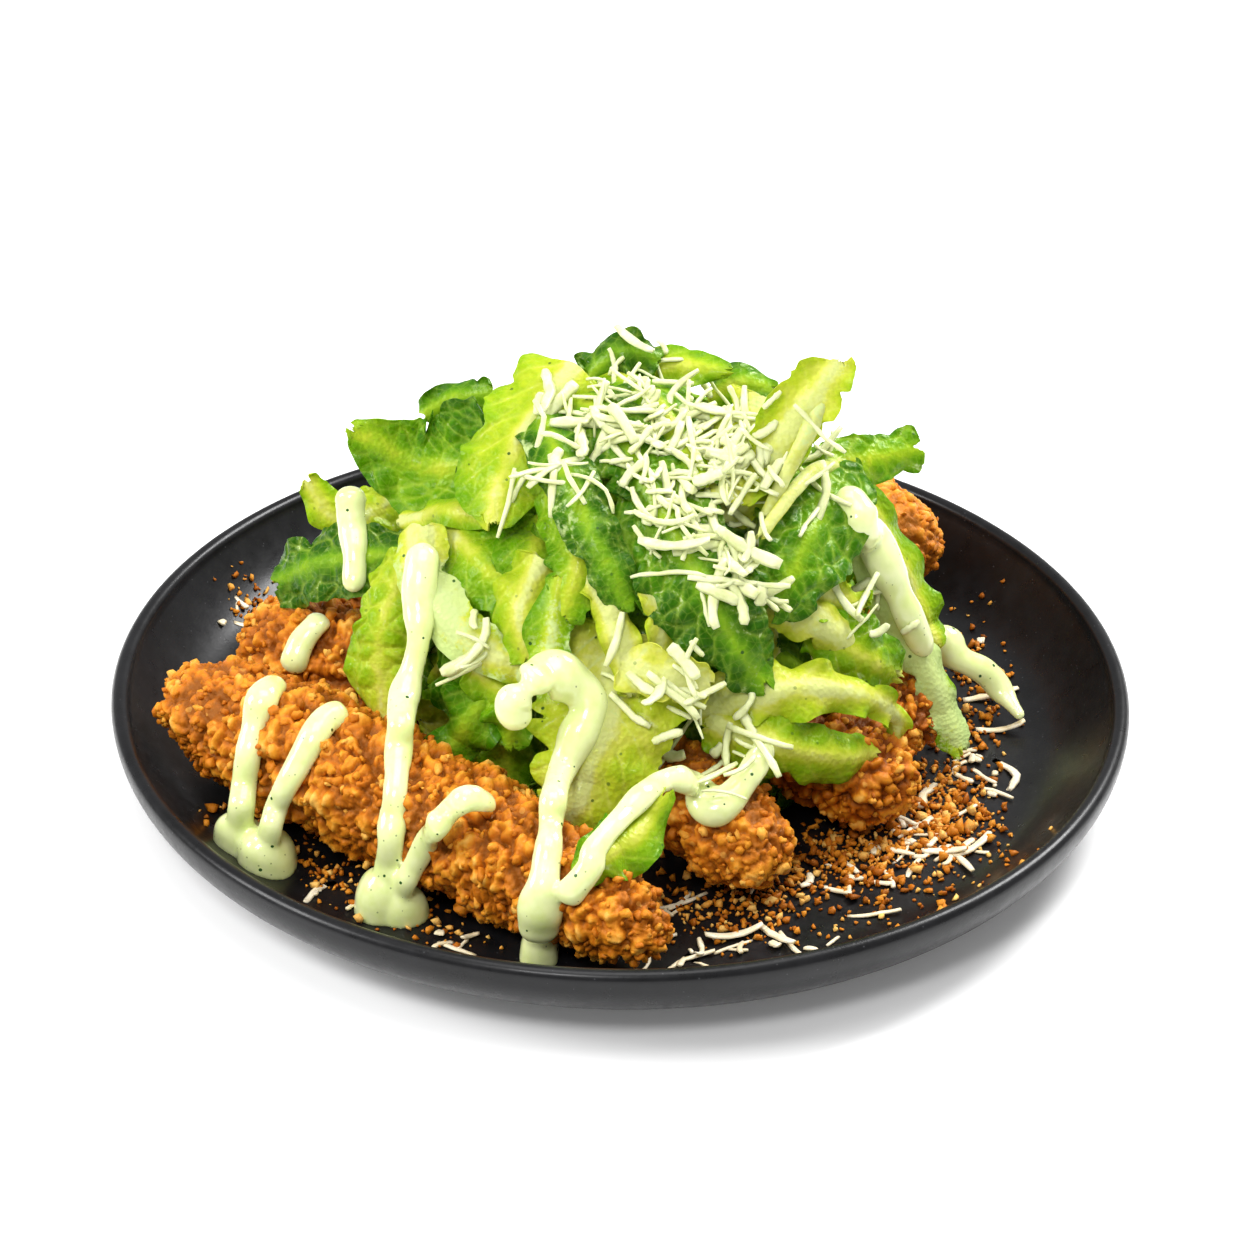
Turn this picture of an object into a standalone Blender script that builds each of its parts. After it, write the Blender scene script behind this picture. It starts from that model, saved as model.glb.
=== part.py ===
"""Crispy chicken caesar salad on a round coupe plate.

Units are metres and +Z is up. The origin is the centre of the plate's foot, on the table.
The plate is turned from one profile. Seven crumbed chicken tenders lie on it, and the lettuce
is one uneven heap, made of a mound and of leaf slabs, that rests over and between the tenders.
"""

import math

import bmesh
import bpy
from mathutils import Vector, noise

# ---------------------------------------------------------------- driving dimensions
PLATE_RADIUS = 0.125
PLATE_HEIGHT = 0.0235
LIP_WIDTH = 0.0042
WELL_RADIUS = 0.098
WELL_TOP = 0.0045
FOOT_RADIUS = 0.094
FOOT_WIDTH = 0.008
FOOT_HEIGHT = 0.0018
FOOT_BEVEL = 0.0008         # how far the foot ring's outer edge stands in from the side
RECESS = 0.0015
RECESS_SLOPE = 0.0012       # width of the step from the foot ring up to the recess
WALL_POWER = 2.3            # the higher, the more of the wall's rise lies near the lip
WALL_STEPS = 6
LIP_STEPS = 5
SIDE_STEPS = 7
TURN_STEPS = 64
WELD_DISTANCE = 0.00005

CLEARANCE = 0.0005          # gap that touching solids keep
CUT_MARGIN = 0.0009         # how much larger a tender's cutter is than the tender

MOUND_CENTRE = Vector((0.002, 0.010, 0.002))
MOUND_RADII = Vector((0.063, 0.056, 0.090))
MOUND_LUMP = 0.007          # height of the mound's lumps
MOUND_LUMP_SIZES = (0.42, 0.20)     # breadth of the large and the small lumps, of the mound's 1
MOUND_SMALL_SHARE = 0.6     # height of the small lumps over that of the large ones
MOUND_SUBDIVISIONS = 5
SLAB_THICKNESS = 0.0075
SLAB_RIPPLE = 0.0022        # height of the ripple along a leaf slab
SLAB_RIPPLE_PHASE = 9.0     # radians of ripple from a slab's root to its tip
SLAB_RIPPLE_SKEW = 4.0      # radians of ripple across a slab
SLAB_CUP = 0.16             # how far a slab's sides hang below its spine, over its width
SLAB_AHEAD = 0.02           # the step along a spine that its direction is read from
HEAP_VOXEL = 0.0032
HEAP_KEEP = 0.125           # share of the remeshed heap's faces that is kept
HEAP_FLOOR = WELL_TOP + CLEARANCE

# Each tender: name, tail and tip of its core line, half width, height over width, how much
# narrower it gets from its middle to its tip, and its sideways bow.
TENDERS = (
    ("tender_front", (-0.109, -0.015, 0.0228), (0.010, -0.104, 0.0178), 0.0160, 0.90, 0.17, 0.002),
    ("tender_left", (-0.094, 0.010, 0.0235), (-0.034, -0.010, 0.0200), 0.0152, 0.90, 0.06, -0.002),
    ("tender_left_rear", (-0.080, 0.046, 0.0185), (-0.018, 0.028, 0.0180), 0.0125, 0.92, 0.10, 0.001),
    ("tender_centre", (0.000, -0.030, 0.0215), (0.036, -0.077, 0.0170), 0.0130, 0.90, 0.05, 0.000),
    ("tender_right_centre", (0.026, -0.020, 0.0200), (0.068, -0.046, 0.0175), 0.0125, 0.95, 0.00, 0.001),
    ("tender_right", (0.050, 0.026, 0.0240), (0.072, -0.024, 0.0175), 0.0130, 0.90, 0.08, 0.002),
    ("tender_back_right", (0.046, 0.084, 0.0270), (0.079, 0.050, 0.0240), 0.0140, 0.85, 0.05, 0.002),
)

# Each leaf slab: root, middle and tip of its spine, and its width at root, middle and tip.
SLABS = (
    ((-0.036, 0.010, 0.070), (-0.052, 0.014, 0.077), (-0.068, 0.015, 0.080), 0.034, 0.038, 0.016),
    ((-0.008, 0.014, 0.086), (-0.024, 0.004, 0.088), (-0.032, -0.014, 0.070), 0.034, 0.036, 0.022),
    ((0.006, 0.014, 0.086), (0.002, 0.016, 0.096), (-0.002, 0.018, 0.101), 0.030, 0.028, 0.016),
    ((0.028, -0.002, 0.076), (0.040, -0.004, 0.095), (0.049, -0.005, 0.109), 0.026, 0.021, 0.018),
    ((0.040, 0.000, 0.068), (0.056, 0.010, 0.073), (0.071, 0.015, 0.076), 0.022, 0.020, 0.017),
    ((-0.050, 0.008, 0.048), (-0.068, 0.012, 0.047), (-0.085, 0.012, 0.041), 0.030, 0.032, 0.020),
    ((-0.044, -0.006, 0.062), (-0.054, -0.014, 0.048), (-0.058, -0.022, 0.034), 0.034, 0.036, 0.022),
    ((0.000, -0.036, 0.058), (-0.006, -0.056, 0.048), (-0.014, -0.071, 0.036), 0.040, 0.038, 0.018),
    ((0.018, -0.038, 0.048), (0.042, -0.044, 0.040), (0.061, -0.036, 0.034), 0.032, 0.030, 0.020),
    ((0.048, 0.014, 0.060), (0.070, -0.002, 0.038), (0.082, -0.016, 0.015), 0.020, 0.018, 0.014),
    ((0.054, 0.018, 0.062), (0.069, 0.013, 0.050), (0.079, 0.010, 0.036), 0.024, 0.022, 0.014),
    ((0.008, -0.026, 0.074), (0.022, -0.042, 0.062), (0.034, -0.050, 0.044), 0.030, 0.032, 0.018),
    ((0.034, -0.024, 0.060), (0.050, -0.034, 0.048), (0.064, -0.030, 0.038), 0.026, 0.026, 0.018),
    ((0.006, 0.046, 0.060), (0.012, 0.066, 0.052), (0.014, 0.084, 0.034), 0.050, 0.046, 0.028),
    ((-0.026, 0.042, 0.060), (-0.042, 0.060, 0.050), (-0.054, 0.074, 0.032), 0.040, 0.036, 0.022),
    ((0.032, 0.040, 0.056), (0.046, 0.050, 0.056), (0.058, 0.058, 0.050), 0.034, 0.032, 0.020),
    ((-0.034, 0.034, 0.062), (-0.048, 0.046, 0.062), (-0.060, 0.054, 0.056), 0.032, 0.030, 0.018),
)
TENDER_SEGMENTS = 18
TENDER_RINGS = 13
TENDER_SWELL = 0.10         # how much thicker or thinner a tender's lumps make it
TENDER_LUMP_SIZE = 0.7
TENDER_LUMP_STRETCH = (2.1, 0.6, 0.6)
END_POWER = 4.0             # the higher, the blunter a tender's ends
SLAB_ROWS = 9
SLAB_COLUMNS = 5
SEED_STRIDE = Vector((7.3, 3.1, 5.7))   # how far apart the noises of two seeds lie

# Colour as linear RGBA, roughness, metallic.
FINISHES = {
    "plate": ((0.020, 0.020, 0.022, 1.0), 0.42, 0.0),
    "tender": ((0.520, 0.215, 0.045, 1.0), 0.60, 0.0),
    "lettuce": ((0.330, 0.480, 0.080, 1.0), 0.45, 0.0),
}


# ---------------------------------------------------------------- helpers
def clear_scene():
    """Empties the file without closing it."""
    for old in list(bpy.data.objects):
        bpy.data.objects.remove(old, do_unlink=True)


def finish(name):
    """The Principled material called name, from FINISHES."""
    material = bpy.data.materials.get(name)
    if material is None:
        material = bpy.data.materials.new(name)
        material.use_nodes = True
        shader = material.node_tree.nodes["Principled BSDF"]
        colour, roughness, metallic = FINISHES[name]
        shader.inputs["Base Color"].default_value = colour
        shader.inputs["Roughness"].default_value = roughness
        shader.inputs["Metallic"].default_value = metallic
    return material


def add_object(name, mesh, material_name):
    """Links a new object of that mesh and finish to the scene."""
    obj = bpy.data.objects.new(name, mesh)
    bpy.context.scene.collection.objects.link(obj)
    mesh.materials.append(finish(material_name))
    return obj


def mesh_from(bm, name):
    """Frees the bmesh into a new smooth-shaded mesh."""
    mesh = bpy.data.meshes.new(name)
    bm.to_mesh(mesh)
    bm.free()
    mesh.shade_smooth()
    return mesh


# ---------------------------------------------------------------- plate
def plate_profile():
    """The plate's outline as (radius, height), from the well's centre over the lip to the foot."""
    lip = LIP_WIDTH / 2
    lip_height = PLATE_HEIGHT - lip
    inner = PLATE_RADIUS - LIP_WIDTH
    points = [(0.0, WELL_TOP), (WELL_RADIUS * 0.5, WELL_TOP), (WELL_RADIUS, WELL_TOP)]
    for i in range(1, WALL_STEPS + 1):
        share = i / WALL_STEPS
        rise = (lip_height - WELL_TOP) * share ** WALL_POWER
        points.append((WELL_RADIUS + (inner - WELL_RADIUS) * share, WELL_TOP + rise))
    centre = PLATE_RADIUS - lip
    for i in range(1, LIP_STEPS + 1):
        angle = math.pi * (1 - i / LIP_STEPS)
        points.append((centre + lip * math.cos(angle), lip_height + lip * math.sin(angle)))
    for i in range(1, SIDE_STEPS + 1):
        angle = math.pi / 2 * (1 - i / SIDE_STEPS)
        radius = FOOT_RADIUS + (PLATE_RADIUS - FOOT_RADIUS) * math.sin(angle)
        height = FOOT_HEIGHT + (lip_height - FOOT_HEIGHT) * (1 - math.cos(angle))
        points.append((radius, height))
    points += [
        (FOOT_RADIUS - FOOT_BEVEL, 0.0),
        (FOOT_RADIUS - FOOT_WIDTH, 0.0),
        (FOOT_RADIUS - FOOT_WIDTH - RECESS_SLOPE, RECESS),
        (0.0, RECESS),
    ]
    return points


def make_plate():
    """The plate, its profile turned round Z by a Screw modifier."""
    mesh = bpy.data.meshes.new("plate")
    rim = [(radius, 0.0, height) for radius, height in plate_profile()]
    mesh.from_pydata(rim, [(i, i + 1) for i in range(len(rim) - 1)], [])
    plate = add_object("plate", mesh, "plate")
    turn = plate.modifiers.new("turn", "SCREW")
    turn.axis = "Z"
    turn.angle = math.tau
    turn.steps = TURN_STEPS
    turn.render_steps = TURN_STEPS
    turn.use_merge_vertices = True
    turn.merge_threshold = WELD_DISTANCE
    turn.use_smooth_shade = True
    return plate


# ---------------------------------------------------------------- tenders
def lump(point, size, seed):
    """Smooth noise between -1 and 1, of that feature size."""
    return noise.noise(point / size + seed * SEED_STRIDE)


def tender_bmesh(tail, tip, half_width, flatness, narrowing, bow, seed, grow=0.0):
    """A blunt-ended, lumpy sausage along the line from tail to tip, larger by grow all round."""
    tail = Vector(tail)
    tip = Vector(tip)
    along = (tip - tail).normalized()
    side = Vector((0.0, 0.0, 1.0)).cross(along).normalized()
    over = along.cross(side)
    half_length = (tip - tail).length / 2
    centre = (tail + tip) / 2
    bm = bmesh.new()
    bmesh.ops.create_uvsphere(
        bm, u_segments=TENDER_SEGMENTS, v_segments=TENDER_RINGS, radius=1.0
    )
    for vertex in bm.verts:
        unit = vertex.co.copy()
        share = unit.z
        ring = math.hypot(unit.x, unit.y)
        girth = (1 - abs(share) ** END_POWER) ** 0.5 if abs(share) < 1 else 0.0
        taper = 1.0 - narrowing * share
        spot = Vector(a * b for a, b in zip((share, unit.x, unit.y), TENDER_LUMP_STRETCH))
        swell = 1 + TENDER_SWELL * lump(spot, TENDER_LUMP_SIZE, seed)
        radius = half_width * girth * taper * swell + (grow if girth > 0 else 0.0)
        across = unit.x / ring * radius if ring > 0 else 0.0
        height = unit.y / ring * radius * flatness if ring > 0 else 0.0
        run = share * (half_length + grow)
        curve = bow * math.cos(share * math.pi / 2)
        vertex.co = centre + along * run + side * (across + curve) + over * height
    return bm


def make_tender(index, name, *form):
    """One crumbed chicken tender."""
    bm = tender_bmesh(*form, seed=index)
    return add_object(name, mesh_from(bm, name), "tender")


# ---------------------------------------------------------------- lettuce heap
def add_mound(bm):
    """A lumpy half ellipsoid standing on the plate's well."""
    made = bmesh.ops.create_icosphere(bm, subdivisions=MOUND_SUBDIVISIONS, radius=1.0)
    large, small = MOUND_LUMP_SIZES
    for vertex in made["verts"]:
        unit = vertex.co.copy()
        bump = lump(unit, large, 1) + MOUND_SMALL_SHARE * lump(unit, small, 2)
        place = Vector(a * b for a, b in zip(unit, MOUND_RADII))
        place += unit * MOUND_LUMP * bump
        place += MOUND_CENTRE
        place.z = max(place.z, HEAP_FLOOR)
        vertex.co = place


def quadratic(start, middle, end, share):
    """The point at that share along a smooth curve through the three points."""
    control = middle * 2 - (start + end) / 2
    return start * (1 - share) ** 2 + control * 2 * share * (1 - share) + end * share ** 2


def add_slab(bm, index, root, middle, tip, *widths):
    """A leaf-shaped slab: a curved strip with a cupped cross-section, thick enough to remesh."""
    root, middle, tip = Vector(root), Vector(middle), Vector(tip)
    up = Vector((0.0, 0.0, 1.0))
    faces = []
    for layer in (-0.5, 0.5):
        grid = []
        for row in range(SLAB_ROWS):
            share = row / (SLAB_ROWS - 1)
            here = quadratic(root, middle, tip, share)
            ahead = quadratic(root, middle, tip, share + SLAB_AHEAD) - here
            side = ahead.cross(up).normalized()
            normal = side.cross(ahead).normalized()
            width = quadratic(*(Vector((w, 0, 0)) for w in widths), share).x
            line = []
            for column in range(SLAB_COLUMNS):
                across = column / (SLAB_COLUMNS - 1) - 0.5
                phase = share * SLAB_RIPPLE_PHASE + index + across * SLAB_RIPPLE_SKEW
                ripple = SLAB_RIPPLE * math.sin(phase)
                cup = SLAB_CUP * width * (2 * across) ** 2
                place = here + side * width * across
                place += normal * (layer * SLAB_THICKNESS + ripple - cup)
                line.append(bm.verts.new(place))
            grid.append(line)
        faces.append(grid)
    bottom, top = faces
    for row in range(SLAB_ROWS - 1):
        for column in range(SLAB_COLUMNS - 1):
            for grid, turned in ((top, False), (bottom, True)):
                ring = [grid[row][column], grid[row][column + 1]]
                ring += [grid[row + 1][column + 1], grid[row + 1][column]]
                bm.faces.new(ring[::-1] if turned else ring)
    edge = [(0, c) for c in range(SLAB_COLUMNS - 1)]
    edge += [(r, SLAB_COLUMNS - 1) for r in range(SLAB_ROWS - 1)]
    edge += [(SLAB_ROWS - 1, c) for c in range(SLAB_COLUMNS - 1, 0, -1)]
    edge += [(r, 0) for r in range(SLAB_ROWS - 1, 0, -1)]
    for (r0, c0), (r1, c1) in zip(edge, edge[1:] + edge[:1]):
        bm.faces.new((bottom[r0][c0], bottom[r1][c1], top[r1][c1], top[r0][c0]))


def evaluated_mesh(obj, name):
    """The object's mesh with its modifiers applied."""
    graph = bpy.context.evaluated_depsgraph_get()
    return bpy.data.meshes.new_from_object(obj.evaluated_get(graph), depsgraph=graph).copy()


def keep_largest_body(mesh):
    """Deletes every island of the mesh but the one with the most vertices."""
    bm = bmesh.new()
    bm.from_mesh(mesh)
    left = set(bm.verts)
    islands = []
    while left:
        island = set()
        queue = [left.pop()]
        while queue:
            vertex = queue.pop()
            island.add(vertex)
            for edge in vertex.link_edges:
                other = edge.other_vert(vertex)
                if other in left:
                    left.remove(other)
                    queue.append(other)
        islands.append(island)
    islands.sort(key=len, reverse=True)
    for island in islands[1:]:
        bmesh.ops.delete(bm, geom=list(island), context="VERTS")
    bm.to_mesh(mesh)
    bm.free()


def make_heap():
    """The lettuce as one uneven solid, hollowed where the tenders pass into it."""
    bm = bmesh.new()
    add_mound(bm)
    for index, slab in enumerate(SLABS):
        add_slab(bm, index, *slab)
    rough = add_object("heap_rough", mesh_from(bm, "heap_rough"), "lettuce")
    remesh = rough.modifiers.new("weld_into_one", "REMESH")
    remesh.mode = "VOXEL"
    remesh.voxel_size = HEAP_VOXEL
    thin = rough.modifiers.new("thin_out", "DECIMATE")
    thin.ratio = HEAP_KEEP
    mesh = evaluated_mesh(rough, "lettuce_heap")
    bpy.data.objects.remove(rough, do_unlink=True)
    for vertex in mesh.vertices:
        vertex.co.z = max(vertex.co.z, HEAP_FLOOR)
    heap = add_object("heap_uncut", mesh, "lettuce")
    cutters = []
    for index, (name, *form) in enumerate(TENDERS):
        bm = tender_bmesh(*form, seed=index, grow=CUT_MARGIN)
        cutter = add_object(name + "_cutter", mesh_from(bm, name + "_cutter"), "tender")
        cutter.hide_render = True
        cutter.display_type = "WIRE"
        cutters.append(cutter)
        cut = heap.modifiers.new("room_for_" + name, "BOOLEAN")
        cut.operation = "DIFFERENCE"
        cut.solver = "EXACT"
        cut.object = cutter
    cut_mesh = evaluated_mesh(heap, "lettuce_heap")
    for cutter in cutters:
        bpy.data.objects.remove(cutter, do_unlink=True)
    bpy.data.objects.remove(heap, do_unlink=True)
    keep_largest_body(cut_mesh)
    cut_mesh.name = "lettuce_heap"
    cut_mesh.materials.clear()
    return add_object("lettuce_heap", cut_mesh, "lettuce")


def main():
    """Builds the plate, the tenders and the heap."""
    clear_scene()
    make_plate()
    for index, tender in enumerate(TENDERS):
        make_tender(index, *tender)
    make_heap()


main()
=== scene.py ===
"""The looks of a crispy chicken caesar salad on a black coupe plate.

Every piece is a surface worked out with numpy: a function of two parameters on a grid, or a
profile carried along a path. Sizes are metres. The tables of leaves, strands and heaps hold
millimetres, which MM turns into metres. +Z is up and -Y is towards the viewer.
"""

import math

import bpy
import numpy as np
from mathutils import Matrix, Vector
from mathutils.bvhtree import BVHTree


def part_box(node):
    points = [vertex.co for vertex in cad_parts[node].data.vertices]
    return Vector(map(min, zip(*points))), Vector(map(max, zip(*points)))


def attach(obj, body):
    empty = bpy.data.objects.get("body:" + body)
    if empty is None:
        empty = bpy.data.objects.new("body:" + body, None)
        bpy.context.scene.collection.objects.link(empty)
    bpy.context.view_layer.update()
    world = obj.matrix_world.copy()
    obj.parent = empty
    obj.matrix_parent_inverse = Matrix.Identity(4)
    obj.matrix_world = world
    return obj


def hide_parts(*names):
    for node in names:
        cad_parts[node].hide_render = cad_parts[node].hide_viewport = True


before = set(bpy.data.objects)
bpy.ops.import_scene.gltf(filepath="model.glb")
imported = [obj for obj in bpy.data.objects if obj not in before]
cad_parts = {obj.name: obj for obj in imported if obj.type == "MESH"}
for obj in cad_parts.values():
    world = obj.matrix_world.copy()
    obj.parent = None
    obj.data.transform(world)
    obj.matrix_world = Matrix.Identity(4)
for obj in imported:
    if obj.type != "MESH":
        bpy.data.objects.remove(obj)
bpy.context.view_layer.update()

MM = 0.001
ROOT = "root"

# ---------------------------------------------------------------- camera
LENS = 85.0
SENSOR = 36.0
VIEW_ELEVATION = math.radians(31.35)
VIEW_ROLL = math.radians(0.9)
VIEW_DISTANCE = 0.728
LOOK_AT = np.array((0.0013, 0.0, 0.034))
VIEW_BACK = np.array((0.0, -math.cos(VIEW_ELEVATION), math.sin(VIEW_ELEVATION)))
CAMERA_AT = LOOK_AT + VIEW_BACK * VIEW_DISTANCE

# ---------------------------------------------------------------- plate
PLATE_LOW, PLATE_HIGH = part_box("plate")
PLATE_RADIUS = PLATE_HIGH.x
PLATE_HEIGHT = PLATE_HIGH.z
LIP_WIDTH = 0.0042
WELL_RADIUS = 0.098
WELL_TOP = 0.0045
WALL_POWER = 2.3
FOOT_RADIUS = 0.094
FOOT_WIDTH = 0.008
FOOT_HEIGHT = 0.0018
FOOT_BEVEL = 0.0008
RECESS = 0.0015
RECESS_SLOPE = 0.0012
PLATE_TURNS = 288

# ---------------------------------------------------------------- tenders
# node, tail and tip of the core line, half width, height over width, narrowing to the tip,
# sideways bow, how rough the crumb is, and the colour's shift from brown (0) to gold (1)
TENDERS = (
    ("tender_front", (-0.109, -0.015, 0.0228), (0.010, -0.104, 0.0178),
     0.0160, 0.90, 0.17, 0.002, 1.0, 0.55),
    ("tender_left", (-0.094, 0.010, 0.0235), (-0.034, -0.010, 0.0200),
     0.0152, 0.90, 0.06, -0.002, 1.0, 0.40),
    ("tender_left_rear", (-0.080, 0.046, 0.0185), (-0.018, 0.028, 0.0180),
     0.0125, 0.92, 0.10, 0.001, 1.0, 0.30),
    ("tender_centre", (0.000, -0.030, 0.0215), (0.036, -0.077, 0.0170),
     0.0130, 0.90, 0.05, 0.000, 0.8, 0.60),
    ("tender_right_centre", (0.026, -0.020, 0.0200), (0.068, -0.046, 0.0175),
     0.0125, 0.95, 0.00, 0.001, 1.0, 0.15),
    ("tender_right", (0.050, 0.026, 0.0240), (0.072, -0.024, 0.0175),
     0.0130, 0.90, 0.08, 0.002, 1.0, 0.20),
    ("tender_back_right", (0.046, 0.084, 0.0270), (0.079, 0.050, 0.0240),
     0.0140, 0.85, 0.05, 0.002, 0.6, 0.85),
)
END_POWER = 4                # of the share along a tender, in its rounded outline
CRUMB_DEPTH = 0.0025        # how far the crumb stands in from the frame's smooth tender
CRUMB_STEP = 0.00042        # spacing of a tender's grid

# ---------------------------------------------------------------- lettuce
HEAP_CENTRE = np.array((2.0, 8.0, 4.0))
HEAP_RADII = np.array((66.0, 58.0, 88.0))
LEAF_STEP = 0.00050
LEAF_THICKNESS = 0.00042
TEARS = 5                   # torn notches at a leaf's edges
CRISP_ANGLE = math.radians(62)


def leaf(spine, width, tone, face=None, roll=0.0, twist=0.0, cup=18.0, ruffle=1.0, blister=0.5,
         rib=1.0, film=0.0, ragged=0.10, slant=0.0):
    """One leaf's row: spine points and full widths in mm, tone from root to tip (0 cream, 1 dark),
    the way it faces, roll and twist in degrees, cup at its edges in degrees, ruffle and blister
    heights in mm, rib thickness in mm, dressing film from 0 to 1, raggedness and end slant."""
    return dict(spine=spine, width=width, tone=tone, face=face, roll=roll, twist=twist, cup=cup,
                ruffle=ruffle, blister=blister, rib=rib, film=film, ragged=ragged, slant=slant)


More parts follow.
